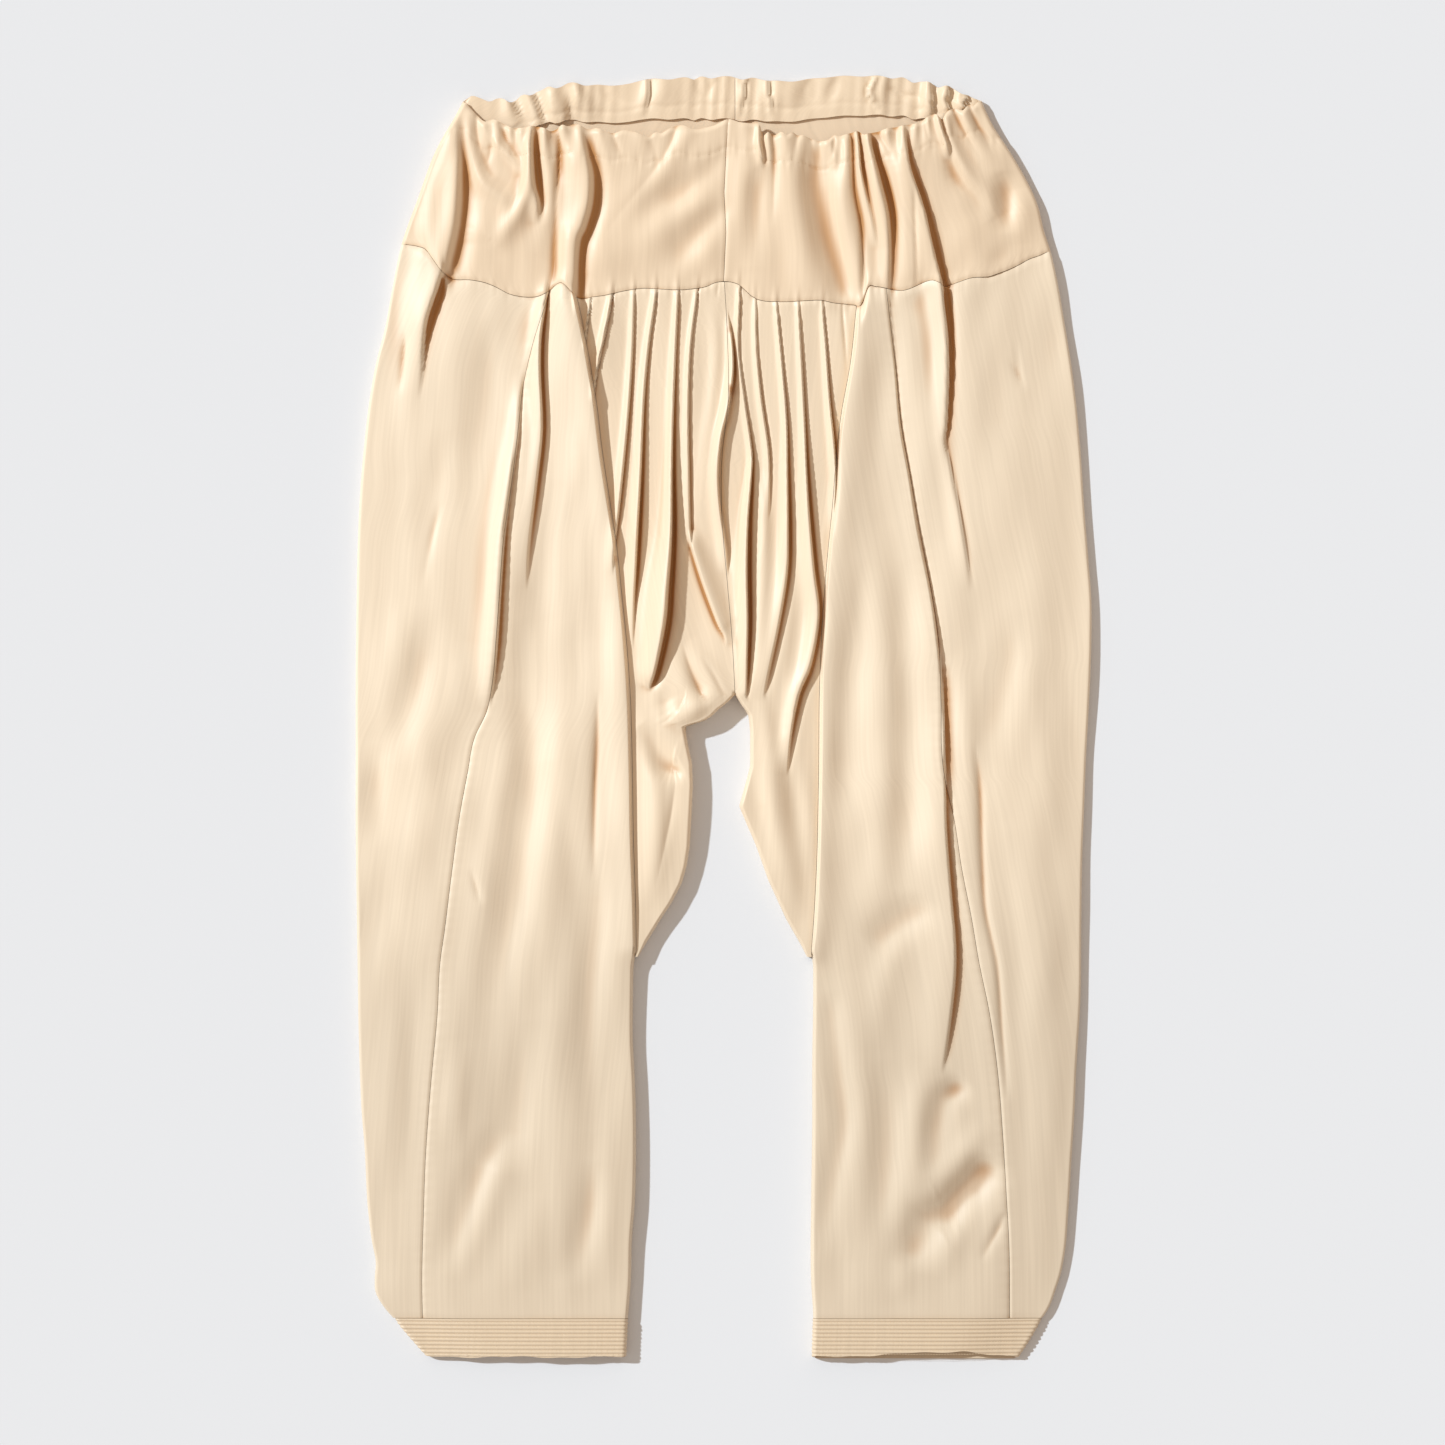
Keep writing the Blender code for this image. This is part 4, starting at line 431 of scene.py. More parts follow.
legFoldsRight = [
    ("edgeLeft", [(104.2, 154.9, 3, 6), (102, 177.4, 4, 6.8), (98.2, 213.4, 4.5, 7.5), (90.8, 255.4, 4.5, 8.2),
        (87, 289.9, 4.5, 9), (84.8, 318.4, 4.5, 9), (80.2, 366.4, 4, 9), (77.2, 406.9, 3.5, 9),
        (75, 454.9, 3.2, 8.2), (74.2, 523.1, 3, 8.2), (72.8, 586.9, 3, 7.5), (70.5, 631.9, 2.6, 6.8),
        (68.2, 654.4, 2, 6)]),
    ("ridge", [(111.8, 159.4, 2.5, 5.2), (111.8, 196.9, 3, 6.8), (107.2, 241.9, 3, 8.2),
        (102.8, 294.4, 3, 9.8), (99.8, 361.9, 2.4, 10.5), (95.2, 436.9, 1.6, 11.2), (93.8, 511.9, 0, 11.2)]),
    ("valley", [(104.2, 361.9, 0, 4.5), (101.2, 406.9, 1.6, 6), (95.2, 466.9, 2, 7.5), (92.2, 526.9, 1.6, 8.2),
        (91.5, 586.9, 0, 8.2)]),
    ("ridge", [(120.8, 331.9, 0, 6.8), (120, 391.9, 2.6, 7.5), (120, 466.9, 3.2, 8.2), (119.2, 541.9, 3, 9),
        (117.8, 601.9, 2, 9.8), (117.8, 654.4, 0, 9.8)]),
    ("valley", [(136.5, 361.9, 0, 5.2), (137.2, 421.9, 2, 6.8), (138.8, 496.9, 2.2, 7.5),
        (136.5, 564.4, 2, 7.5), (135, 609.4, 0, 7.5)]),
    ("edgeRight", [(122.2, 151.9, 0.9, 4.8), (123, 166.9, 1.6, 5.8), (123.8, 181.1, 1.6, 6.5),
        (127.5, 217.1, 1.6, 7.4), (131.2, 261.4, 1.8, 8.6), (138, 299.6, 2, 9.4), (144, 337.9, 2.2, 10.3),
        (153.8, 385.9, 2.6, 11.3), (159, 421.9, 3.4, 12.2), (163.5, 466.9, 3.8, 13.2), (165, 526.1, 4, 13.2),
        (165.8, 564.4, 4, 13.2), (169.5, 611.6, 4, 13.2), (172.5, 646.9, 4, 13.2), (172.5, 673.1, 3.6, 12.2),
        (169.5, 702.4, 3.1, 11.3), (165.8, 729.4, 1.8, 9.4), (162.8, 745.9, 0, 7.4)]),
    ("ridge", [(136.5, 166.9, 0, 5.2), (138.8, 196.9, 1.6, 6.8), (146.2, 241.9, 2, 7.5),
        (153.8, 294.4, 1.6, 7.5), (161.2, 346.9, 0, 7.5)]),
    ("valley", [(151.5, 613.1, 0, 6), (144, 624.4, 2.7, 8), (131.2, 632.6, 3.1, 8), (117.8, 643.1, 2, 8),
        (108.8, 650.6, 0, 7)]),
    ("ridge", [(136.5, 643.1, 0, 6), (125.2, 661.9, 2, 7.5), (117.8, 691.9, 1.6, 8.2), (114.8, 729.4, 0, 8.2)]),
    ("valley", [(181.5, 750.4, 0, 4.8), (174, 757.9, 3.5, 5.7), (164.2, 766.9, 3.2, 6.6),
        (159, 785.6, 3.1, 6.6), (156.8, 804.4, 1.8, 6.6), (156, 823.1, 0, 6.6)]),
    ("ridge", [(151.5, 736.9, 0, 6), (146.2, 774.4, 2.4, 7.5), (143.2, 811.9, 2.6, 8.2),
        (136.5, 841.9, 1.6, 8.2), (131.2, 868.1, 0, 7.5)]),
    ("valley", [(204.8, 808.9, 0, 5.7), (196.5, 819.4, 5.4, 8.5), (183.8, 832.9, 6.5, 9.3),
        (170.2, 847.9, 6.5, 10.3), (159, 852.4, 5.4, 9.3), (151.5, 858.4, 4.8, 9.3), (144, 875.6, 4.3, 8.5),
        (138.8, 892.9, 0, 7.6)]),
    ("ridge", [(197.2, 781.9, 0, 6), (185.2, 800.6, 2.4, 6.8), (170.2, 820.9, 2.6, 7.5),
        (155.2, 838.1, 1.6, 7.5), (146.2, 847.9, 0, 6.8)]),
    ("crease", [(212.2, 847.9, 0, 2.2), (206.2, 861.4, 2.2, 3), (198.8, 874.9, 1.6, 3), (192.8, 886.9, 0, 3)]),
    ("ridge", [(189, 834.4, 0, 5.2), (181.5, 853.1, 2, 6), (170.2, 875.6, 2, 6.8), (162.8, 901.9, 0, 6.8)]),
    ("valley", [(81.8, 684.4, 0, 4.5), (81, 706.9, 1.8, 5.2), (86.2, 751.9, 2.2, 6), (90, 782.6, 2.2, 6),
        (84, 815.6, 1.8, 6), (74.2, 860.6, 1.2, 6), (71.2, 886.9, 0, 6)]),
    ("ridge", [(96.8, 669.4, 0, 6.8), (99.8, 721.9, 2.2, 8.2), (104.2, 774.4, 2.4, 9), (101.2, 826.9, 2, 9),
        (95.2, 886.9, 0, 9)]),
    ("valley", [(117.8, 736.9, 0, 6), (120.8, 781.9, 1.6, 6.8), (119.2, 834.4, 1.6, 7.5),
        (111.8, 879.4, 0, 7.5)]),
    ("ridge", [(136.5, 879.4, 0, 6.8), (132.8, 905.6, 1.2, 6.8), (131.2, 920.6, 0, 6.8)]),
]

sideFoldsRight = [
    ("rollRight", [(163.5, 144.4, 5, 7.5), (165.8, 166.9, 6, 8.2), (168.8, 193.1, 5.5, 8.2),
        (169.5, 223.1, 4.6, 7.5), (168, 260.6, 3, 6), (166.5, 273.4, 2, 5.2), (170.2, 290.6, 1.6, 5.2),
        (176.2, 320.6, 1.8, 5.2), (182.2, 354.4, 1.6, 6), (186, 385.9, 0, 6)]),
    ("ridge", [(179.2, 153.4, 2, 7.5), (180.8, 189.4, 2.4, 9), (185.2, 241.9, 2.2, 9.8),
        (192.8, 301.9, 1.8, 10.5), (200.2, 361.9, 0, 10.5)]),
    ("crease", [(213.8, 211.9, 0, 1.9), (220.5, 223.1, 1.2, 1.9), (227.2, 234.4, 0, 1.9)]),
    ("crease", [(218.2, 196.9, 0, 2.2), (220.5, 215.6, 0.8, 2.2), (222, 235.9, 0, 2.2)]),
    ("valley", [(221.2, 399.4, 0, 6.8), (213.8, 433.1, 2.2, 8.2), (204.8, 470.6, 2.4, 9),
        (195.8, 505.9, 0, 9)]),
    ("ridge", [(234.8, 421.9, 0, 7.5), (225.8, 466.9, 1.8, 9), (215.2, 511.9, 2, 9.8), (207.8, 556.9, 0, 9.8)]),
    ("ridge", [(215.2, 256.9, 0, 9), (218.2, 309.4, 1.6, 10.5), (222.8, 369.4, 0, 10.5)]),
    ("ridge", [(177.8, 429.4, 0, 4.5), (181.5, 481.9, 2.4, 6), (183, 519.4, 2.6, 6), (185.2, 564.4, 1.8, 6),
        (189.8, 601.9, 0, 6)]),
    ("crease", [(188.2, 496.9, 0, 1.9), (192, 535.1, 2.4, 2.2), (193.5, 579.4, 2.6, 2.2),
        (195.8, 621.4, 2.6, 2.2), (201, 646.9, 2.4, 2.2), (205.5, 669.4, 2.4, 2.2), (208.5, 712.1, 2.2, 2.2),
        (211.5, 748.1, 1.2, 2.2), (213, 766.9, 0, 2.2)]),
    ("ridge", [(237.8, 466.9, 0, 10.5), (239.2, 541.9, 2, 12.8), (240.8, 616.9, 2, 13.5),
        (239.2, 691.9, 2, 13.5), (236.2, 766.9, 1.6, 12.8), (231.8, 841.9, 0, 11.2)]),
    ("valley", [(216.8, 564.4, 0, 6.8), (216.8, 631.9, 1.6, 8.2), (221.2, 699.4, 1.8, 9),
        (224.2, 766.9, 1.6, 9), (224.2, 826.9, 0, 9)]),
]

crotchFoldsLeft = [
    ("ridge", [(-62.2, 459.4, 0, 3.8), (-58.5, 496.9, 2, 4.5), (-51, 541.9, 2.4, 5.2), (-51, 586.9, 2, 6),
        (-58.5, 624.4, 0, 5.2)]),
    ("valley", [(-62.2, 485.6, 0, 3.3), (-53.2, 498.4, 3.6, 5), (-44.2, 513.4, 5.4, 5.7),
        (-37.5, 517.9, 4.5, 5), (-30.8, 514.9, 0, 4.2)]),
    ("ridge", [(-41.2, 466.9, 0, 5.2), (-35.2, 478.9, 4, 6), (-23.2, 475.9, 3.5, 6), (-12.8, 466.9, 2.5, 6),
        (-5.2, 457.9, 0, 5.2)]),
    ("crease", [(-30.8, 423.4, 0, 1.5), (-24.8, 442.9, 2, 1.9), (-17.2, 460.9, 2.6, 2.2),
        (-11.2, 471.4, 0, 2.2)]),
    ("crease", [(-17.2, 433.1, 0, 1.5), (-8.2, 445.9, 1.6, 1.9), (-0.8, 459.4, 1.6, 1.9),
        (5.2, 466.9, 0, 1.9)]),
    ("ridge", [(-24.8, 421.9, 0, 3.8), (-14.2, 440.6, 2.4, 4.5), (-3.8, 459.4, 2, 4.5), (3.8, 468.4, 0, 4.5)]),
    ("ridge", [(-35.2, 429.4, 0, 4.5), (-29.2, 451.9, 2.6, 5.2), (-21.8, 470.6, 2.2, 5.2),
        (-17.2, 480.4, 0, 4.5)]),
    ("valley", [(-47.2, 459.4, 0, 3), (-41.2, 475.9, 2.5, 3.8), (-32.2, 487.9, 1.5, 3.8),
        (-26.2, 493.9, 0, 3.8)]),
    ("crease", [(-35.2, 523.1, 0, 1.5), (-38.2, 549.4, 1.2, 2.2), (-44.2, 579.4, 0.8, 2.2),
        (-51, 609.4, 0, 2.2)]),
]

crotchFoldsRight = [
    ("ridge", [(27.8, 459.4, 0, 3.8), (33.8, 496.9, 2.6, 5.2), (36.8, 541.9, 2.8, 6), (44.2, 586.9, 2.4, 6.8),
        (56.2, 631.9, 0, 6.8)]),
    ("valley", [(44.2, 496.9, 0, 4.5), (51.8, 534.4, 2.4, 5.2), (59.2, 571.9, 2.2, 6), (63.8, 609.4, 1.4, 5.2),
        (66.8, 639.4, 0, 4.5)]),
    ("ridge", [(57.8, 511.9, 0, 4.5), (62.2, 556.9, 1.8, 5.2), (66.8, 601.9, 1.4, 5.2), (68.2, 639.4, 0, 4.5)]),
    ("valley", [(21.8, 511.9, 0, 3.8), (26.2, 541.9, 1.4, 4.5), (33.8, 571.9, 1, 4.5), (39.8, 594.4, 0, 4.5)]),
]

belt = {
    "casingDepth": 20.5,  # the stitching that holds the casing, below the waist's edge
    "centreBack": 9.0,
    "frontColumns": 181,
    "foldColumns": 12,
    "backColumns": 91,
    "ruffle": 1.5,  # height of the small gathers at the waist
}

# Creases of the back cloth, shallower because it lies on the table
backFolds = [
    ("ridge", [(-222, 200, 0, 8), (-228, 262, 1.4, 9), (-236, 330, 0, 9)]),
    ("ridge", [(-168, 190, 0, 7), (-176, 300, 1.6, 8), (-186, 420, 1.2, 8), (-200, 520, 0, 8)]),
    ("ridge", [(-130, 200, 0, 8), (-118, 330, 1.8, 9), (-112, 480, 1.4, 10), (-108, 600, 0, 10)]),
    ("ridge", [(-150, 520, 0, 9), (-158, 640, 1.5, 10), (-176, 760, 1.2, 10), (-190, 860, 0, 10)]),
    ("ridge", [(-96, 640, 0, 9), (-104, 740, 1.4, 10), (-110, 850, 0, 10)]),
    ("ridge", [(-238, 600, 0, 9), (-240, 690, 1.3, 10), (-240, 790, 0, 10)]),
    ("ridge", [(-84, 180, 0.6, 4), (-66, 300, 2.2, 4.5), (-58, 420, 2.0, 4.5), (-50, 520, 0, 5)]),
    ("ridge", [(-62, 180, 0.8, 4), (-46, 300, 2.4, 4.5), (-36, 420, 2.2, 4.5), (-34, 500, 0, 4)]),
    ("ridge", [(-40, 178, 0.8, 4), (-26, 300, 2.4, 4.5), (-14, 430, 2.0, 4.5), (-10, 470, 0, 4)]),
    ("ridge", [(-18, 176, 0.8, 4), (-8, 300, 2.0, 4.5), (0, 440, 1.4, 4.5), (2, 470, 0, 4)]),
    ("ridge", [(20, 176, 0.8, 4), (18, 300, 2.0, 4.5), (18, 440, 1.6, 4.5), (16, 480, 0, 4)]),
    ("ridge", [(44, 178, 0.8, 4), (38, 300, 2.4, 4.5), (34, 430, 2.2, 4.5), (30, 530, 0, 4)]),
    ("ridge", [(68, 180, 0.8, 4), (60, 300, 2.4, 4.5), (54, 430, 2.2, 4.5), (50, 560, 0, 5)]),
    ("ridge", [(88, 190, 0, 7), (96, 300, 1.4, 8), (100, 420, 0, 8)]),
    ("ridge", [(146, 180, 0, 8), (150, 300, 1.7, 9), (146, 450, 1.4, 9), (140, 560, 0, 9)]),
    ("ridge", [(196, 170, 0, 8), (204, 290, 1.6, 9), (212, 420, 0, 9)]),
    ("ridge", [(240, 330, 0, 10), (240, 470, 1.4, 10), (234, 640, 1.2, 10), (226, 760, 0, 10)]),
    ("ridge", [(176, 560, 0, 9), (170, 680, 1.5, 10), (158, 800, 1.2, 10), (150, 880, 0, 10)]),
    ("ridge", [(104, 620, 0, 9), (100, 740, 1.5, 10), (96, 860, 0, 10)]),
]


def easeBetween(value, start, end):
    # 0 before start, 1 after end, smooth between them
    share = np.clip((np.asarray(value, float) - start) / (end - start), 0, 1)
    return share * share * (3 - 2 * share)


def curveThrough(rows, at):
    # smooth curve through a table of (place, value), level beyond its ends
    places, values = np.array(rows, float).T
    slope = np.gradient(values, places)
    at = np.clip(np.asarray(at, float), places[0], places[-1])
    i = np.clip(np.searchsorted(places, at) - 1, 0, len(places) - 2)
    step = places[i + 1] - places[i]
    t = (at - places[i]) / step
    start = (1 + 2 * t) * (1 - t) ** 2 * values[i] + t * (1 - t) ** 2 * step * slope[i]
    return start + t * t * (3 - 2 * t) * values[i + 1] + t * t * (t - 1) * step * slope[i + 1]


def lineThrough(rows, at):
    # straight stretches between a table's points, where a curve would swing past them
    places, values = np.array(rows, float).T
    return np.interp(at, places, values)


def smoothFold(rows, spans=4):
    # points of one fold with others worked in between them, on a curve through them all
    points = np.array(rows, float)
    ends = np.vstack((2 * points[0] - points[1], points, 2 * points[-1] - points[-2]))
    before, here, there, after = ends[:-3], ends[1:-2], ends[2:-1], ends[3:]
    t = (np.arange(spans) / spans)[None, :, None]
    a, b, c, d = (part[:, None, :] for part in (before, here, there, after))
    curve = 0.5 * (2 * b + (c - a) * t + (2 * a - 5 * b + 4 * c - d) * t ** 2 + (3 * b - a - 3 * c + d) * t ** 3)
    curve = np.vstack((curve.reshape(-1, 4), points[-1:]))
    curve[:, 3] = np.maximum(curve[:, 3], 0.8)
    return curve


def foldProfile(kind, away, high, wide):
    # height of a fold at a distance from its line, where away is positive on its right
    if kind.endswith("Left"):
        away = -away
    u = away / wide
    soft = garment["softHeight"] * high * np.exp(-(u / garment["softWidth"]) ** 2)
    if kind == "ridge":
        return soft
    if kind == "valley":
        return -soft
    if kind == "crease":
        return -0.75 * high * np.exp(-np.abs(u / 1.25) ** 1.4)
    if kind.startswith("soft"):  # rounded, then down into a wide valley
        fall = 1 - 1.5 * easeBetween(u, -0.5, 0.5)
        valley = -0.5 * np.exp(-(np.maximum(u - 0.5, 0) / 0.9) ** 2)
        rise = np.exp(-((u + 0.5) / 1.2) ** 2)
        return high * np.where(u < -0.5, rise, np.where(u < 0.5, fall, valley))
    if kind.startswith("roll"):  # rounded, then tucked into a narrow valley
        rise = np.exp(-((u + 0.3) / 1.15) ** 2)
        fall = 1 - 1.5 * easeBetween(u, -0.3, 0.08)
        valley = -0.5 * np.exp(-(np.maximum(u - 0.08, 0) / 0.45) ** 1.5)
        return high * np.where(u < -0.3, rise, np.where(u < 0.08, fall, valley))
    drop = easeBetween(away, 0, 2.4)  # one layer's edge lying over the next
    over = np.exp(-(u / 1.5) ** 2)
    foot = 1 - drop - 0.3 * drop * np.exp(-(away / (0.6 * wide)) ** 2)
    return high * np.where(away < 0, over, foot)


def foldHeights(folds, x, down):
    # sum of folds: each point takes the nearest place of a fold's line, and its height and width there
    total = np.zeros(x.shape)
    for kind, rows in folds:
        line = smoothFold(rows)
        reach = 3.6 * line[:, 3].max() + 3
        low, top = line[:, :2].min(0) - reach, line[:, :2].max(0) + reach
        near = (x > low[0]) & (x < top[0]) & (down > low[1]) & (down < top[1])
        if not near.any():
            continue
        px, pd = x[near], down[near]
        best = np.full(px.shape, 1e9)
        side, high, wide = np.zeros(px.shape), np.zeros(px.shape), np.ones(px.shape)
        for a, b in zip(line[:-1], line[1:]):
            alongX, alongDown = b[0] - a[0], b[1] - a[1]
            square = alongX ** 2 + alongDown ** 2 + 1e-9
            t = np.clip(((px - a[0]) * alongX + (pd - a[1]) * alongDown) / square, 0, 1)
            gap = (px - a[0] - t * alongX) ** 2 + (pd - a[1] - t * alongDown) ** 2
            closer = gap < best
            best = np.where(closer, gap, best)
            side = np.where(closer, np.sign(alongDown * (px - a[0]) - alongX * (pd - a[1])), side)
            high = np.where(closer, a[2] + (b[2] - a[2]) * t, high)
            wide = np.where(closer, a[3] + (b[3] - a[3]) * t, wide)
        total[near] += foldProfile(kind, np.sqrt(best) * side, high, wide)
    return total


def unevenness(x, down):
    # slow waves of a few tenths of a millimetre, longer down the cloth than across it
    waves = [(0.011, 0.0021, 0.3, 0.42), (0.0193, -0.0037, 1.9, 0.30), (0.0312, 0.0049, 4.1, 0.16),
             (0.0069, 0.0087, 5.2, 0.30), (0.0527, -0.0071, 2.7, 0.05)]
    total = np.zeros(np.shape(x))
    for acrossRate, downRate, start, size in waves:
        bend = 2.1 * np.sin(0.013 * down + start) + 1.7 * np.sin(0.019 * x - start + 0.006 * down)
        total = total + size * np.sin(acrossRate * 6.283 * x + downRate * 6.283 * down + start + bend)
    return total


def seamPuckers(along, away, size):
    # small bulges beside a seam, uneven along it and gone a few millimetres from it
    beat = np.sin(0.72 * along + 1.3 * np.sin(0.11 * along)) + 0.6 * np.sin(1.31 * along + 2 * np.sin(0.07 * along))
    return size * beat * np.exp(-(np.abs(away) / 5.5) ** 1.5)


allLegFolds = sideFoldsLeft + legFoldsLeft + crotchFoldsLeft + crotchFoldsRight + legFoldsRight + sideFoldsRight
allPleats = pleatsLeft + pleatsRight
allBeltFolds = beltFoldsLeft + beltFoldsRight


def legFoldHeights(x, down):
    # the pleats are pressed nearly flat under the belt and stand up lower down
    pressed = garment["pleatAtBelt"] + (1 - garment["pleatAtBelt"]) * easeBetween(down, 165, 330)
    return foldHeights(allLegFolds, x, down) + pressed * foldHeights(allPleats, x, down)


def beltSeamDown(x):
    # down of the seam under the belt, on a curve through its table
    return curveThrough(beltSeam, x)


def backSeamDown(x):
    # down of the same seam behind, on two straight stretches
    return np.interp(x, (-246, 10, 249), (125.5, 160.5, 129.5))


# both sides of the belt seam meet at the mean of what their own folds ask for
seamAcross = np.linspace(-252, 254, 500)
beltAtSeam = foldHeights(allBeltFolds, seamAcross, beltSeamDown(seamAcross))
legAtSeam = legFoldHeights(seamAcross, beltSeamDown(seamAcross))
bothAtSeam = 0.6 * beltAtSeam + 0.4 * legAtSeam


def softFloor(z, lowest):
    # eases a height that would go below lowest + 1.5 into it
    above = lowest + 1.5
    return np.where(z < above, above - 1.5 * (1 - np.exp(np.minimum(z - above, 0) / 1.5)), z)


def edgeDrop(x, down):
    # how far the front sinks beside the outer edges of the legs and hips
    away = np.minimum(x - curveThrough(outlineLeft, down), curveThrough(outlineRight, down) - x)
    return garment["edgeFall"] * (1 - easeBetween(away, 1, garment["edgeWidth"])) ** 1.3


def legHeights(x, down):
    # top face of the front from the belt seam to the hems, side panels, legs and gussets alike
    seam = beltSeamDown(x)
    below = down - seam
    base = garment["legTop"] + (garment["seamTop"] - garment["legTop"]) * np.exp(-np.maximum(below, 0) / 35)
    base = base + (garment["hemJoin"] - garment["legTop"]) * easeBetween(down, 840, 925)
    middleShare = easeBetween(x, -66, -45) * (1 - easeBetween(x, 45, 72))
    base = base + garment["crotchRise"] * middleShare * easeBetween(down, 330, 480) * (1 - easeBetween(down, 540, 650))
    folds = legFoldHeights(x, down)
    folds = folds + (np.interp(x, seamAcross, bothAtSeam - legAtSeam)) * np.exp(-(np.maximum(below, 0) / 9) ** 2)
    folds = garment["foldScale"] * folds * (1 - 0.85 * easeBetween(down, 898, 928))
    z = base + folds + unevenness(x, down) * (1 - 0.6 * easeBetween(down, 900, 928)) - edgeDrop(x, down)
    z = z - 0.7 * np.exp(-(below / 1.3) ** 2) + seamPuckers(x, below, 0.16)
    for line in (seamLeft, seamRight):
        away = x - curveThrough(line, down)
        z = z - 0.75 * np.exp(-(away / 1.2) ** 2) + seamPuckers(down, away, 0.14)
    z = z - 0.5 * np.exp(-((garment["legEnd"] - down) / 1.5) ** 2)
    return softFloor(z, garment["lowest"])


def beltHeights(x, down):
    # top face of the belt's front
    waist = curveThrough(waistFront, x)
    seam = beltSeamDown(x)
    share = np.clip((down - waist) / (seam - waist), 0, 1)
    above = seam - down
    folds = foldHeights(allBeltFolds, x, down)
    folds = folds + np.interp(x, seamAcross, bothAtSeam - beltAtSeam) * np.exp(-(np.maximum(above, 0) / 9) ** 2)
    z = garment["waistTop"] + (garment["seamTop"] - garment["waistTop"]) * share ** 0.7
    z = z + garment["foldScale"] * folds
    gathered = easeBetween(-x, 90, 118) + easeBetween(x, 22, 36)
    ruffle = np.sin(0.58 * x + 2.4 * np.sin(0.083 * x) + 0.03 * down) * (0.6 + 0.4 * np.sin(0.051 * x + 2))
    z = z + belt["ruffle"] * gathered * ruffle * np.exp(-(np.maximum(down - waist, 0) / 17) ** 1.5)
    z = z + 0.8 * unevenness(x * 1.3, down) - edgeDrop(x, down)
    z = z - 0.7 * np.exp(-(above / 1.3) ** 2) + seamPuckers(x, above, 0.16)
    z = z - 1.6 * (1 - easeBetween(down - waist, -0.5, 3.0))  # the turned top edge
    stitches = down - waist - belt["casingDepth"]
    z = z - 0.35 * np.exp(-(stitches / 1.4) ** 2) + seamPuckers(x * 1.1, stitches, 0.16)
    away = x - lineThrough(centreFront, down)
    z = z - 0.7 * np.exp(-(away / 1.1) ** 2)
    return softFloor(z, garment["lowest"])


def backLift(x, down):
    # how far the back cloth of the legs is creased up off the table
    lift = foldHeights(backFolds, x, down) + 0.5 * np.maximum(unevenness(x * 1.1 + 40, down + 90), 0)
    for line in (seamLeft, seamRight):
        lift = lift + 0.5 * np.exp(-((x - curveThrough(line, down)) / 1.5) ** 2)
    return np.clip(lift, 0, 3)


def gatherLift(x, down):
    # gathers of the belt's back, which show inside the waist
    lift = 1.3 + 1.7 * foldHeights(casingFolds, x, down) * (1 - easeBetween(down, 36, 66))
    lift = lift + 0.5 * unevenness(x * 1.6, down)
    small = np.sin(0.62 * x + 2.2 * np.sin(0.061 * x) + 0.05 * down) * (0.55 + 0.45 * np.sin(0.047 * x + 1))
    lift = lift + 0.55 * small * (1 - easeBetween(down, 20, 48))
    away = x - belt["centreBack"]
    lift = lift - 0.8 * np.exp(-(away / 1.2) ** 2)
    low = easeBetween(down, 60, 110)
    lift = lift + 0.9 * low * np.sin(x * 0.21 + 2 * np.sin(x * 0.031)) * np.exp(-((down - 130) / 40) ** 2)
    return np.clip(lift, 0, 5.5)


def movingMean(values, reach, axis):
    # mean of the values up to reach steps away along an axis, with the edges held
    pad = [(0, 0), (0, 0)]
    pad[axis] = (reach, reach)
    wide = np.pad(values, pad, mode="edge")
    count = values.shape[axis]
    total = sum(np.take(wide, np.arange(count) + shift, axis=axis) for shift in range(2 * reach + 1))
    return total / (2 * reach + 1)


def hollowOf(z):
    # how far each place lies below the cloth round it; this depth sets the painted shade in the folds
    around = movingMean(movingMean(z, 6, 1), 4, 0)
    around = movingMean(movingMean(around, 4, 1), 3, 0)
    return around - z


def clothLengths(grid):
    # length across and down the cloth to each point, for the weave
    acrossStep = np.linalg.norm(np.diff(grid, axis=1, prepend=grid[:, :1]), axis=2)
    downStep = np.linalg.norm(np.diff(grid, axis=0, prepend=grid[:1]), axis=2)
    return np.stack((np.cumsum(acrossStep, 1), np.cumsum(downStep, 0)), 2)


def gridFaces(start, rows, columns, ring):
    # four-cornered faces between neighbours of a grid whose first vertex is start
    index = start + np.arange(rows * columns).reshape(rows, columns)
    if ring:
        index = np.column_stack((index, index[:, :1]))
    return np.stack((index[:-1, :-1], index[:-1, 1:], index[1:, 1:], index[1:, :-1]), 2).reshape(-1, 4), index


def rimFaces(outer, inner, step, forward):
    # faces from an edge of the outer grid to the same edge of the inner one, which has a point for each step
    count = len(inner) - 1
    strip = [outer[shift::step][:count] for shift in range(step)] + [outer[step::step][:count]]
    faces = np.column_stack(strip + [inner[1:], inner[:-1]])
    return faces if forward else faces[:, ::-1]


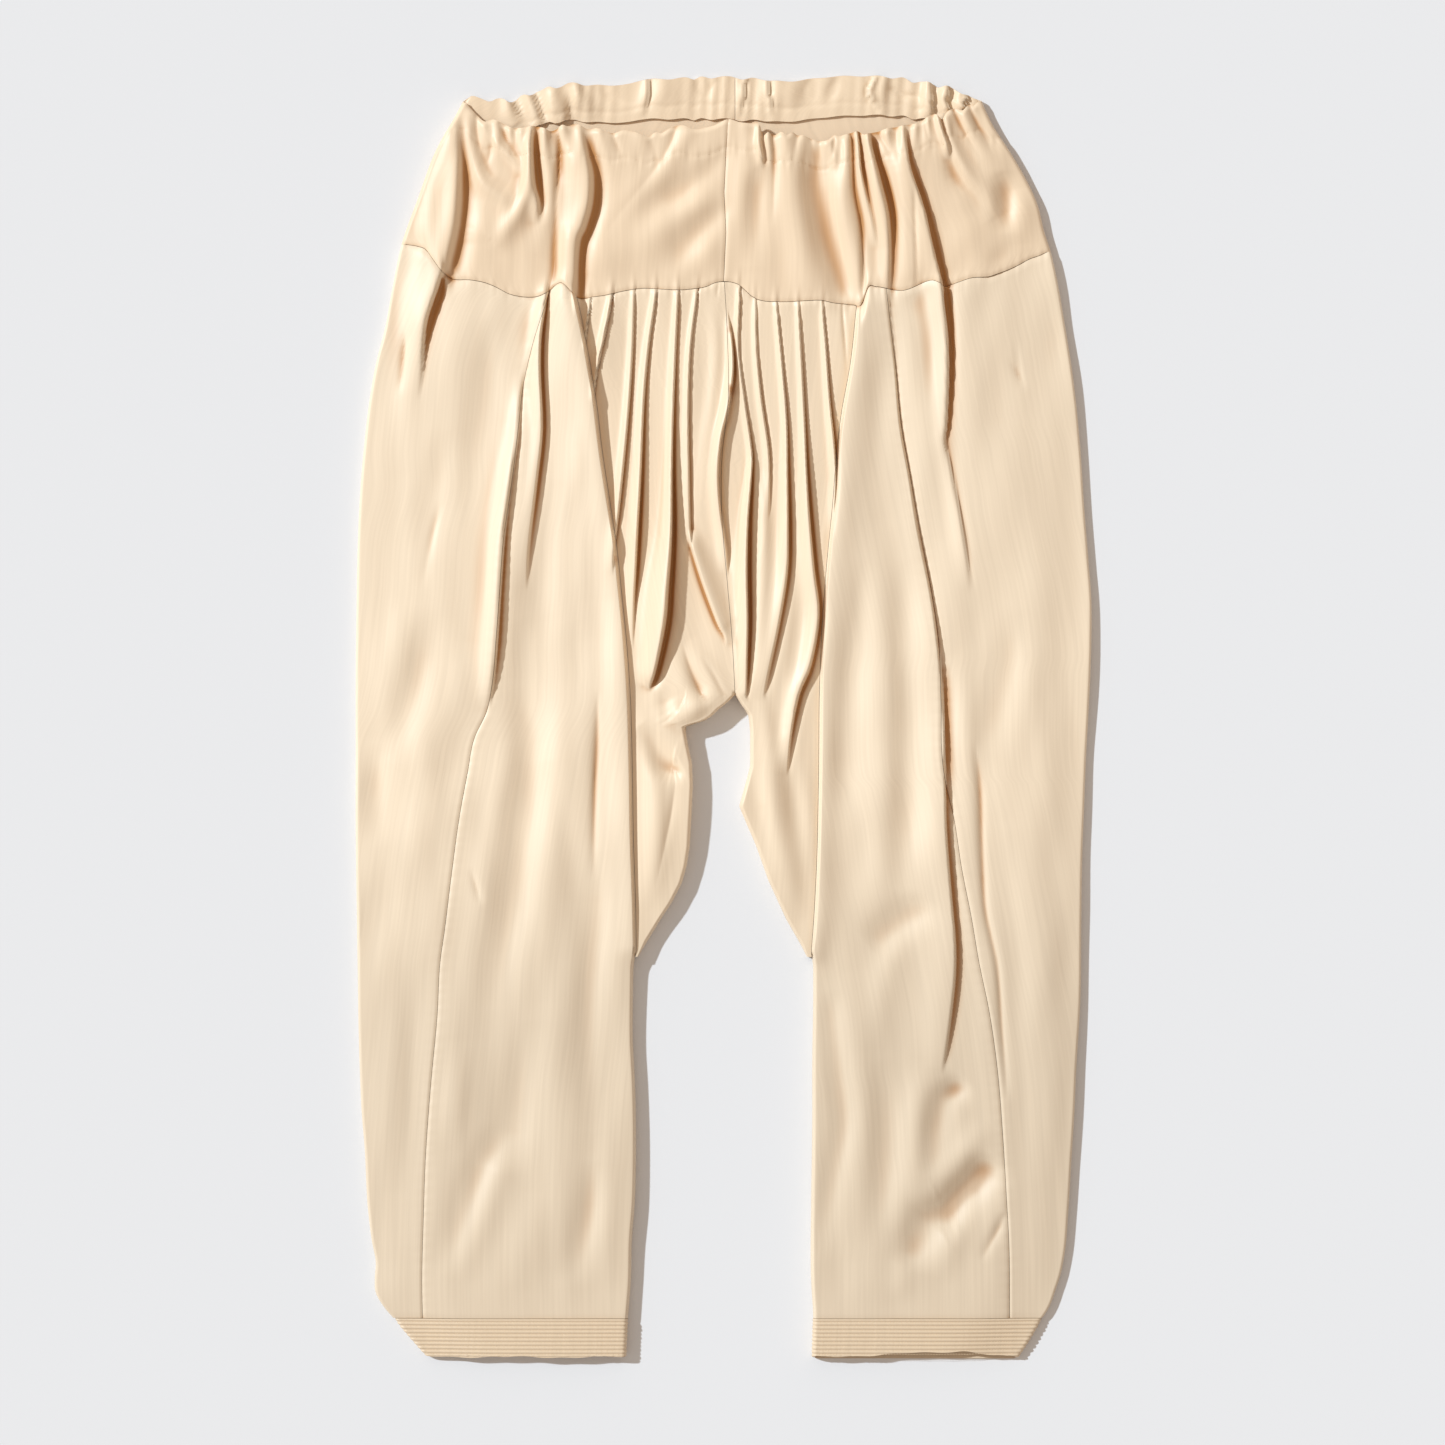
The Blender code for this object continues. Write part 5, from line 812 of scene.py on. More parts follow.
def clothPiece(name, outer, inner, material, ring=False, faceUp=True, paintedShadeDepth=None, step=1):
    # closed thin shell between the outer grid and the inner one, rims and all; grids hold across, down, high
    rows, columns = outer.shape[:2]
    innerRows, innerColumns = inner.shape[:2]
    outerFaces, outerIndex = gridFaces(0, rows, columns, ring)
    innerFaces, innerIndex = gridFaces(rows * columns, innerRows, innerColumns, ring)
    groups = [outerFaces, innerFaces[:, ::-1]]
    groups.append(rimFaces(outerIndex[0], innerIndex[0], step, False))
    groups.append(rimFaces(outerIndex[-1], innerIndex[-1], step, True))
    if not ring:
        groups.append(rimFaces(outerIndex[:, 0], innerIndex[:, 0], step, True))
        groups.append(rimFaces(outerIndex[:, -1], innerIndex[:, -1], step, False))
    points = np.concatenate((outer.reshape(-1, 3), inner.reshape(-1, 3)))
    spots = np.column_stack((points[:, 0], waistToMiddle - points[:, 1], points[:, 2])) * mm
    a, b, d = (spots[outerFaces[:, corner]] for corner in (0, 1, 3))
    upward = np.cross(b - a, d - a)[: max(4, columns // 3), 2].sum()
    if (upward > 0) != faceUp:
        groups = [group[:, ::-1] for group in groups]
    faces = [face for group in groups for face in group.tolist()]
    mesh = bpy.data.meshes.new(name)
    mesh.from_pydata(spots.tolist(), [], faces)
    mesh.polygons.foreach_set("use_smooth", np.ones(len(faces), bool))
    border = np.zeros(len(points), bool)
    for index in (outerIndex, innerIndex):
        border[index[0]] = border[index[-1]] = True
        if not ring:
            border[index[:, 0]] = border[index[:, -1]] = True
    ends = np.zeros(len(mesh.edges) * 2, np.int32)
    mesh.edges.foreach_get("vertices", ends)
    sharp = border[ends.reshape(-1, 2)].all(1)
    mesh.attributes.new("sharp_edge", "BOOLEAN", "EDGE").data.foreach_set("value", sharp)
    lengths = np.concatenate((clothLengths(outer).reshape(-1, 2), clothLengths(inner).reshape(-1, 2))) * mm
    corners = np.zeros(len(mesh.loops), np.int32)
    mesh.loops.foreach_get("vertex_index", corners)
    mesh.uv_layers.new(name="weave").data.foreach_set("uv", lengths[corners].ravel())
    # how far the outer face lies below the cloth round it, which the satin turns into painted shade
    depth = np.zeros(len(points))
    if paintedShadeDepth is not None:
        depth[: rows * columns] = paintedShadeDepth.ravel()
    mesh.attributes.new("paintedShadeDepth", "FLOAT", "POINT").data.foreach_set("value", depth)
    mesh.materials.append(material)
    mesh.update()
    piece = bpy.data.objects.new(name, mesh)
    bpy.context.scene.collection.objects.link(piece)
    print(name, "has", len(faces), "faces")
    return piece


def place(x, down, z):
    # one grid of points from three grids
    return np.stack(np.broadcast_arrays(x, down, z), 2)


def between(start, end, count):
    # evenly spaced values from start to end for each row
    return start[:, None] + (end - start)[:, None] * np.linspace(0, 1, count)[None, :]


def lowestNear(z, reach=2):
    # lowest value round each place, so the coarser inner wall never comes through the outer one
    wide = np.pad(z, reach, mode="edge")
    rows, columns = z.shape
    shifts = [wide[i:i + rows, j:j + columns] for i in range(2 * reach + 1) for j in range(2 * reach + 1)]
    return np.min(shifts, axis=0)


def legRows(step, last=None):
    # an odd number of nominal rows from the belt seam to the hem, or to last
    end = garment["legEnd"] if last is None else last
    count = int((end - garment["legStart"]) / step / 2) * 2 + 1
    return np.linspace(garment["legStart"], end, count)


def followSeam(rows, x, seam):
    # rows follow the seam above them and straighten as they go down the leg
    fade = 1 - easeBetween(rows, garment["legStart"], 255)
    return rows + (seam + 0.2 - garment["legStart"]) * fade


# Side panels: one cloth from the front seam round the outer edge to the back seam
sidePanel = {"rowStep": 2.8, "frontColumns": 73, "foldColumns": 12, "backColumns": 20}


def makeSidePanel(side, material):
    # across runs seam, outer edge, back seam; the edge is half an ellipse between front and back heights
    sign = -1 if side == "left" else 1
    seamLine, edgeLine = (seamLeft, outlineLeft) if side == "left" else (seamRight, outlineRight)
    rows = legRows(sidePanel["rowStep"])
    t = garment["cloth"]
    front, turns, back = sidePanel["frontColumns"], sidePanel["foldColumns"], sidePanel["backColumns"]
    turn = np.radians(np.linspace(90, -90, turns + 1))
    share = np.concatenate((np.zeros(front - 1), np.linspace(0, 1, turns + 1), np.ones(back - 1)))
    down = np.repeat(rows[:, None], len(share), 1)
    for _ in range(3):  # rows bend with the seam, and the edges are read where the rows then lie
        seam = curveThrough(seamLine, down) + sign * garment["seamGap"] / 2
        edge = curveThrough(edgeLine, down)
        reach = 2.4
        inside = edge - sign * reach
        frontShare = np.concatenate((np.linspace(0, 1, front), np.ones(turns + back - 1)))
        backShare = np.concatenate((np.zeros(front + turns - 1), np.linspace(0, 1, back)))
        x = seam + (inside - seam) * frontShare
        x = x + (seam - x) * backShare
        seamPlace = beltSeamDown(x) * (1 - share) + backSeamDown(x) * share
        down = followSeam(rows[:, None], x, seamPlace)
    top = legHeights(x, down)
    lift = backLift(x, down)
    around = np.concatenate((np.full(front - 1, np.pi / 2), turn, np.full(back - 1, -np.pi / 2)))
    middle = (top + lift) / 2
    tall = np.where(around > 0, top - middle, middle - lift)
    outerX = x + sign * reach * np.cos(around)
    outerZ = middle + tall * np.sin(around)
    innerX = x + sign * (reach - t) * np.cos(around)
    low = np.where(around > 1.5, lowestNear(top) - t - middle, tall - t)
    innerZ = middle + low * np.sin(around)
    outer = place(outerX, down, outerZ)
    inner = place(innerX, down, innerZ)[::2, ::2]
    return clothPiece("side_panel_%s_cloth" % side, outer, inner, material, paintedShadeDepth=hollowOf(top) * (around > 0), step=2)


# Front of each leg, whose inner edge laps over the pleats and lower down turns under
legPanel = {"rowStep": 2.0, "columns": 111, "roundColumns": 8, "edgeFoot": 2.6, "innerSeam": 3.7}


def legEdge(side, down):
    # where the leg panel ends: at the foot of its lap over the pleats, then at the leg's inner edge
    sign = 1 if side == "left" else -1
    wing, inner = (wingLeft, legInnerLeft) if side == "left" else (wingRight, legInnerRight)
    lap = curveThrough(wing, down) + sign * legPanel["edgeFoot"]
    below = easeBetween(down, 652, 668)
    return lap + (curveThrough(inner, down) - lap) * below


def makeLegPanel(side, material, front):
    # heights of the cloth, turned a quarter of an ellipse towards the inner seam below the lap
    sign = 1 if side == "left" else -1
    seamLine = seamLeft if side == "left" else seamRight
    rows = legRows(legPanel["rowStep"] if front else 4.4)
    t = garment["cloth"]
    flat = legPanel["columns"] if front else 31
    turns = legPanel["roundColumns"]
    down = np.repeat(rows[:, None], flat + turns, 1)
    reach = 2.8
    for _ in range(3):
        seam = curveThrough(seamLine, down) + sign * garment["seamGap"] / 2
        edge = legEdge(side, down)
        crest = edge - sign * reach
        x = seam + (crest - seam) * np.concatenate((np.linspace(0, 1, flat), np.ones(turns)))
        seamPlace = beltSeamDown(x) if front else backSeamDown(x)
        down = followSeam(rows[:, None], x, seamPlace)
    turn = np.concatenate((np.full(flat, np.pi / 2), np.radians(np.linspace(90, 0, turns + 1)[1:])))
    rounded = easeBetween(down, 656, 659)
    straightX = crest + sign * reach * np.concatenate((np.zeros(flat), np.linspace(0, 1, turns + 1)[1:]))
    flatX = np.where(np.arange(flat + turns) < flat, x, straightX)
    outerX = flatX + (x + sign * reach * np.cos(turn) - flatX) * rounded
    innerX = flatX + (x + sign * (reach - t) * np.cos(turn) - flatX) * rounded
    middle = legPanel["innerSeam"]
    if front:
        flatZ, crestZ = legHeights(flatX, down), legHeights(x, down)
        outerZ = flatZ + (middle + (crestZ - middle) * np.sin(turn) - flatZ) * rounded
        lowZ = lowestNear(flatZ) - t
        innerZ = lowZ + (middle + (lowestNear(crestZ) - t - middle) * np.sin(turn) - lowZ) * rounded
        paintedShadeDepth = hollowOf(crestZ)
    else:
        flatZ, crestZ = backLift(flatX, down), backLift(x, down)
        middle = middle - garment["seamGap"]
        outerZ = flatZ + (middle - (middle - crestZ) * np.sin(turn) - flatZ) * rounded
        highZ = flatZ + t
        innerZ = highZ + (middle - (middle - crestZ - t) * np.sin(turn) - highZ) * rounded
        paintedShadeDepth = None
    outer = place(outerX, down, outerZ)
    inner = place(innerX, down, innerZ)
    name = "leg_%s_%s_cloth" % ("front" if front else "back", side)
    step = 2 if front else 1
    return clothPiece(name, outer, inner[::step, ::step], material, faceUp=front, paintedShadeDepth=paintedShadeDepth, step=step)


# Gussets: the pleated cloth between the legs, open at its inner edge below the crotch
gusset = {"rowStep": 2.0, "columns": 121, "roundColumns": 8, "end": 659, "crotch": 463}


def gussetEnd(side, down):
    # the centre line down to the crotch, then the inner edge
    sign = 1 if side == "left" else -1
    inner = innerLeft if side == "left" else innerRight
    centre = curveThrough(centreLine, down) - sign * garment["seamGap"] / 2
    return np.where(down < gusset["crotch"], centre, lineThrough(inner, down))


def makeGusset(side, material, front):
    # heights between the leg's edge and the centre line, turned a quarter of an ellipse below the crotch
    sign = 1 if side == "left" else -1
    rows = legRows(gusset["rowStep"] if front else 4.2, gusset["end"])
    t = garment["cloth"]
    flat = gusset["columns"] if front else 23
    turns = gusset["roundColumns"]
    down = np.repeat(rows[:, None], flat + turns, 1)
    for _ in range(3):
        start = legEdge(side, down) + sign * garment["seamGap"]
        end = gussetEnd(side, down)
        end = start + sign * np.maximum(np.abs(end - start), 1.6)
        reach = np.minimum(3.0, 0.35 * np.abs(end - start))
        crest = end - sign * reach
        x = start + (crest - start) * np.concatenate((np.linspace(0, 1, flat), np.ones(turns)))
        seamPlace = beltSeamDown(x) if front else backSeamDown(x)
        down = followSeam(rows[:, None], x, seamPlace)
    turn = np.concatenate((np.full(flat, np.pi / 2), np.radians(np.linspace(90, 0, turns + 1)[1:])))
    rounded = easeBetween(down, gusset["crotch"] - 2.5, gusset["crotch"] + 1)
    flatX = x + sign * reach * np.concatenate((np.zeros(flat), np.linspace(0, 1, turns + 1)[1:]))
    outerX = flatX + (x + sign * reach * np.cos(turn) - flatX) * rounded
    innerX = flatX + (x + sign * np.maximum(reach - t, 0.3 * reach) * np.cos(turn) - flatX) * rounded
    middle = 8.0 - 4.3 * easeBetween(down, 560, 650)
    if front:
        flatZ, crestZ = legHeights(flatX, down), legHeights(x, down)
        outerZ = flatZ + (middle + (crestZ - middle) * np.sin(turn) - flatZ) * rounded
        lowZ = lowestNear(flatZ) - t
        innerZ = lowZ + (middle + (lowestNear(crestZ) - t - middle) * np.sin(turn) - lowZ) * rounded
        paintedShadeDepth = hollowOf(crestZ)
    else:
        middle = middle - garment["seamGap"]
        flatZ, crestZ = backLift(flatX, down), backLift(x, down)
        outerZ = flatZ + (middle - (middle - crestZ) * np.sin(turn) - flatZ) * rounded
        highZ = flatZ + t
        innerZ = highZ + (middle - (middle - crestZ - t) * np.sin(turn) - highZ) * rounded
        paintedShadeDepth = None
    outer = place(outerX, down, outerZ)
    inner = place(innerX, down, innerZ)
    name = "gusset_%s_%s_cloth" % ("front" if front else "back", side)
    step = 2 if front else 1
    return clothPiece(name, outer, inner[::step, ::step], material, faceUp=front, paintedShadeDepth=paintedShadeDepth, step=step)


# Belt halves, from the centre front round the hip to the centre back, and the casing inside their top


def beltGrid(side, shares, layer):
    # across, down and both heights of a belt half; layer 0 is the belt itself and 1 the casing inside it
    sign = -1 if side == "left" else 1
    edgeLine = outlineLeft if side == "left" else outlineRight
    t = garment["beltCloth"]
    inset = layer * (t + 0.5)
    front, turns, back = belt["frontColumns"], belt["foldColumns"], belt["backColumns"]
    count = front + turns + back - 1
    share = np.concatenate((np.zeros(front - 1), np.linspace(0, 1, turns + 1), np.ones(back - 1)))
    frontShare = np.concatenate((np.linspace(0, 1, front), np.ones(turns + back - 1)))
    backShare = np.concatenate((np.zeros(front + turns - 1), np.linspace(0, 1, back)))
    down = 30 + 120 * np.repeat(shares[:, None], count, 1)
    reach = 3.6
    for _ in range(6):
        centre = lineThrough(centreFront, down) + sign * garment["seamGap"] / 2
        inside = curveThrough(edgeLine, down) - sign * reach
        x = centre + (inside - centre) * frontShare
        x = x + (belt["centreBack"] + sign * garment["seamGap"] / 2 - x) * backShare
        waist = curveThrough(waistFront, x) * (1 - share) + curveThrough(waistBack, x) * share
        seam = beltSeamDown(x) * (1 - share) + backSeamDown(x) * share - 0.2
        down = waist + (seam - waist) * shares[:, None]
    around = np.concatenate((np.full(front - 1, np.pi / 2), np.radians(np.linspace(90, -90, turns + 1)),
                             np.full(back - 1, -np.pi / 2)))
    top = beltHeights(x, down)
    gathers = gatherLift(x, down) * share
    lift = 0.45 * gathers
    middle = (top + lift) / 2
    tall = np.where(around > 0, top - middle, middle - lift) - inset
    if layer:
        tall = tall - 0.35 * gathers * (around < 0)
    outerX = x + sign * (reach - inset) * np.cos(around)
    innerX = x + sign * (reach - inset - t) * np.cos(around)
    outerZ = middle + tall * np.sin(around)
    thick = t + (0.42 * gathers * (around < 0) if layer else 0)
    innerZ = middle + (tall - thick) * np.sin(around)
    if layer:  # the casing's lower edge is sewn flat to the belt
        sewn = np.exp(-((down - waist - belt["casingDepth"]) / 1.6) ** 2) * (around < 0)
        innerZ = innerZ - 0.35 * sewn
    return place(outerX, down, outerZ), place(innerX, down, innerZ), hollowOf(top) * (around > 0)


def makeBelt(side, material):
    # the belt's grid, with rows closer together at the turned top edge
    shares = np.concatenate((np.linspace(0, 0.05, 5)[:-1], np.linspace(0.05, 1, 76)))
    outer, inner, paintedShadeDepth = beltGrid(side, shares, 0)
    return clothPiece("belt_%s_cloth" % side, outer, inner, material, paintedShadeDepth=paintedShadeDepth)


def makeCasing(side, material):
    # the belt's grid again, one cloth further in, down to the stitching
    shares = np.linspace(0.004, 0.2, 23)
    outer, inner, _ = beltGrid(side, shares, 1)
    return clothPiece("waist_casing_%s_cloth" % side, outer, inner, material)


# Hem bands: a stiff ring of quilted cloth at the end of each leg
hemBand = {
    "left": {"outerTop": -245.5, "outerLow": -222.5, "innerTop": -71.4, "innerLow": -72.6,
             "frontLow": 958.4, "backLow": 957.6, "lifted": 0},
    "right": {"outerTop": 238.5, "outerLow": 221.2, "innerTop": 67.4, "innerLow": 66.6,
              "frontLow": 957.6, "backLow": 960.2, "lifted": 3.2},
    "stitchRows": 9, "rowSpace": 3.0, "firstRow": 2.2, "thickness": 2.0, "top": 10.6, "rows": 61,
}


def hemPuff(down, x):
    # cloth puffs up between the rows of stitching
    fromTop = (down - 930 - hemBand["firstRow"]) / hemBand["rowSpace"]
    inRows = (fromTop > -0.5) & (fromTop < hemBand["stitchRows"] - 0.5)
    puff = 0.75 * (1 - np.abs(np.cos(np.pi * fromTop)) ** 3) * inRows + 0.1 * ~inRows
    return puff + 0.2 * np.sin(x * 1.9 + 2 * np.sin(x * 0.23 + down)) * np.abs(np.sin(np.pi * fromTop)) * inRows


def hemSink(side, x, down):
    # how far the band's front sinks beside its outer edge, as the leg above it does
    size = hemBand[side]
    share = np.clip((down - garment["legEnd"]) / 28.5, 0, 1)
    edge = size["outerTop"] + (size["outerLow"] - size["outerTop"]) * share ** 1.15
    return garment["edgeFall"] * (1 - easeBetween(np.abs(edge - x), 1, garment["edgeWidth"])) ** 1.3


def makeHemBand(side, material):
    # a closed ring: front, outer turn, back and inner turn, puffed between the rows of stitching
    sign = -1 if side == "left" else 1
    size = hemBand[side]
    t, high = hemBand["thickness"], hemBand["top"]
    reach = 3.2
    front, turns, back = 121, 12, 21
    share = np.linspace(0, 1, hemBand["rows"])[:, None]
    outerEdge = size["outerTop"] + (size["outerLow"] - size["outerTop"]) * share ** 1.15
    innerEdge = size["innerTop"] + (size["innerLow"] - size["innerTop"]) * share
    far = np.radians(np.linspace(90, -90, turns + 1))[1:-1]
    along = np.concatenate((np.linspace(0, 1, front), np.ones(turns - 1), np.linspace(1, 0, back), np.zeros(turns - 1)))
    around = np.concatenate((np.full(front, np.pi / 2), far, np.full(back, -np.pi / 2), far[::-1]))
    out = np.concatenate((np.zeros(front), np.ones(turns - 1), np.zeros(back), -np.ones(turns - 1)))
    inside, outside = innerEdge + sign * reach, outerEdge - sign * reach
    x = inside + (outside - inside) * along
    backward = np.concatenate((np.zeros(front), np.linspace(0, 1, turns + 1)[1:-1], np.ones(back),
                               np.linspace(1, 0, turns + 1)[1:-1]))
    lifted = size["lifted"] * easeBetween(x, 108, 150) * (1 - easeBetween(x, 178, 204))
    uneven = 0.5 * np.sin(x * 0.09) + 0.3 * np.sin(x * 0.23 + 1)
    last = (size["frontLow"] - lifted + uneven) * (1 - backward) + size["backLow"] * backward
    start = garment["legEnd"] + garment["seamGap"]
    down = start + (last - start) * share
    puff = hemPuff(down, x) * np.minimum(1, np.abs(np.sin(around)) + 0.4)
    wave = 0.35 * np.sin(x * 0.045 + 0.8) * (around > 0)
    sink = hemSink(side, x, down)
    half = (high - sink) / 2
    outerX = x + sign * out * (reach + puff) * np.cos(around)
    outerZ = half + (half + puff + wave) * np.sin(around)
    innerX = x + sign * out * (reach - t) * np.cos(around)
    innerZ = half + (half - t + wave) * np.sin(around)
    low = np.maximum(outerZ, 0.02)
    outer, inner = place(outerX, down, low), place(innerX, down, innerZ)
    return clothPiece("hem_band_%s_cloth" % side, outer, inner, material, ring=True)


# Stitches: short rounded lengths of thread, each a few faces, laid along a row
thread = {"length": 1.7, "width": 0.42, "height": 0.3}


def stitches(name, x, down, z, slope, material):
    # every stitch is the same ten-cornered capsule, turned along its row and set on the cloth
    half, wide, tall = thread["length"] / 2, thread["width"] / 2, thread["height"] / 2
    ring = np.array([(1, 0), (0, 1), (-1, 0), (0, -1)])
    corners = [(-half, 0, 0)] + [(-0.55 * half, wide * a, tall * b) for a, b in ring]
    corners += [(0.55 * half, wide * a, tall * b) for a, b in ring] + [(half, 0, 0)]
    corners = np.array(corners)
    faces = [(0, 1 + i, 1 + (i + 1) % 4) for i in range(4)]
    faces += [(9, 5 + (i + 1) % 4, 5 + i) for i in range(4)]
    quads = [(1 + i, 5 + i, 5 + (i + 1) % 4, 1 + (i + 1) % 4) for i in range(4)]
    count = len(x)
    turned = np.stack((corners[:, 0] * np.cos(slope)[:, None] - corners[:, 1] * np.sin(slope)[:, None],
                       corners[:, 0] * np.sin(slope)[:, None] + corners[:, 1] * np.cos(slope)[:, None],
                       np.broadcast_to(corners[:, 2], (count, 10))), 2)
    points = turned + np.stack((x, down, z), 1)[:, None, :]
    points = points.reshape(-1, 3)
    spot = np.column_stack((points[:, 0], waistToMiddle - points[:, 1], points[:, 2])) * mm
    shift = (np.arange(count) * 10)[:, None, None]
    allFaces = (np.array(faces)[None] + shift).reshape(-1, 3)[:, ::-1].tolist()
    allFaces += (np.array(quads)[None] + shift).reshape(-1, 4)[:, ::-1].tolist()
    mesh = bpy.data.meshes.new(name)
    mesh.from_pydata(spot.tolist(), [], allFaces)
    mesh.polygons.foreach_set("use_smooth", np.ones(len(allFaces), bool))
    mesh.materials.append(material)
    mesh.update()
    piece = bpy.data.objects.new(name, mesh)
    bpy.context.scene.collection.objects.link(piece)
    print(name, "has", count, "stitches")
    return piece


def makeHemStitches(side, material):
    # stitches every 2.1 mm along each row, set on the band's front height
    size = hemBand[side]
    xs, downs, zs = [], [], []
    for row in range(hemBand["stitchRows"]):
        down = 930 + hemBand["firstRow"] + row * hemBand["rowSpace"]
        share = (down - garment["legEnd"]) / 28.5
        outerEdge = size["outerTop"] + (size["outerLow"] - size["outerTop"]) * share ** 1.15
        innerEdge = size["innerTop"] + (size["innerLow"] - size["innerTop"]) * share
        low, high = sorted((outerEdge, innerEdge))
        x = np.arange(low + 5 + 0.5 * (row % 2), high - 5, 2.1)
        xs.append(x)
        downs.append(down + 0.12 * np.sin(x * 0.31 + row))
        zs.append(hemBand["top"] + 0.05 + 0.35 * np.sin(x * 0.045 + 0.8) - hemSink(side, x, down))
    x, down, z = (np.concatenate(part) for part in (xs, downs, zs))
    return stitches("hem_stitches_" + side, x, down, z, 0.05 * np.sin(x * 1.7), material)


def makeWaistStitches(side, material):
    # one row through the belt's front, where the casing is sewn down
    low, high = (-186, 1) if side == "left" else (3, 190)
    x = np.arange(low + 6, high - 2, 2.6)
    down = curveThrough(waistFront, x) + belt["casingDepth"]
    z = beltHeights(x, down) - 0.06
    slope = np.arctan(np.gradient(down, x))
    return stitches("waist_stitches_" + side, x, down, z, slope, material)


# Materials
# each satin's first colour is the cloth's own; its second, darker one is painted shade for the troughs of the folds
finish = {
    "leg": {"colour": (0.885, 0.72, 0.53), "deep": (0.52, 0.23, 0.065), "roughness": 0.45},
    "gusset": {"colour": (0.875, 0.70, 0.505), "deep": (0.50, 0.23, 0.07), "roughness": 0.40},
    "belt": {"colour": (0.86, 0.665, 0.465), "deep": (0.52, 0.235, 0.07), "roughness": 0.42},
    "casing": {"colour": (0.87, 0.675, 0.47), "deep": (0.50, 0.26, 0.10), "roughness": 0.42},
    "hem": {"colour": (0.86, 0.675, 0.475), "deep": (0.52, 0.27, 0.10), "roughness": 0.44},
    "thread": (0.80, 0.63, 0.43),
    "table": (0.795, 0.797, 0.808),
}


def addLink(tree, source, output, target, socket):
    # joins two nodes' named sockets
    tree.links.new(source.outputs[output], target.inputs[socket])


def newGroup(name, inputs, outputs):
    # an empty node group with the given sockets
    group = bpy.data.node_groups.new(name, "ShaderNodeTree")
    for label, kind, value in inputs:
        socket = group.interface.new_socket(label, in_out="INPUT", socket_type=kind)
        if value is not None:
            socket.default_value = value
    for label, kind in outputs:
        group.interface.new_socket(label, in_out="OUTPUT", socket_type=kind)
    return group, group.nodes.new("NodeGroupInput"), group.nodes.new("NodeGroupOutput")


def makeWarpGroup():
    # fine warp lines of satin along the cloth's own UV, and a slow unevenness in its tone
    group, given, out = newGroup("warpThreads", [("Fineness", "NodeSocketFloat", 1.0)],
                                 [("Height", "NodeSocketFloat"), ("Tone", "NodeSocketFloat")])
    cloth = group.nodes.new("ShaderNodeUVMap")
    cloth.uv_map = "weave"
    sized = group.nodes.new("ShaderNodeVectorMath")
    sized.operation = "SCALE"
    addLink(group, cloth, "UV", sized, 0)
    addLink(group, given, "Fineness", sized, "Scale")
    heights = []
    for across, along, detail in ((1500, 26, 2), (420, 9, 2)):
        stretch = group.nodes.new("ShaderNodeMapping")
        stretch.inputs["Scale"].default_value = (across, along, 1)
        lines = group.nodes.new("ShaderNodeTexNoise")
        lines.inputs["Scale"].default_value = 1.0
        lines.inputs["Detail"].default_value = detail
        addLink(group, sized, "Vector", stretch, "Vector")
        addLink(group, stretch, "Vector", lines, "Vector")
        heights.append(lines)
    both = group.nodes.new("ShaderNodeMath")
    both.operation = "MULTIPLY_ADD"
    both.inputs[1].default_value = 0.55
    addLink(group, heights[0], "Fac", both, 0)
    addLink(group, heights[1], "Fac", both, 2)
    addLink(group, both, "Value", out, "Height")
    addLink(group, heights[1], "Fac", out, "Tone")
    return group


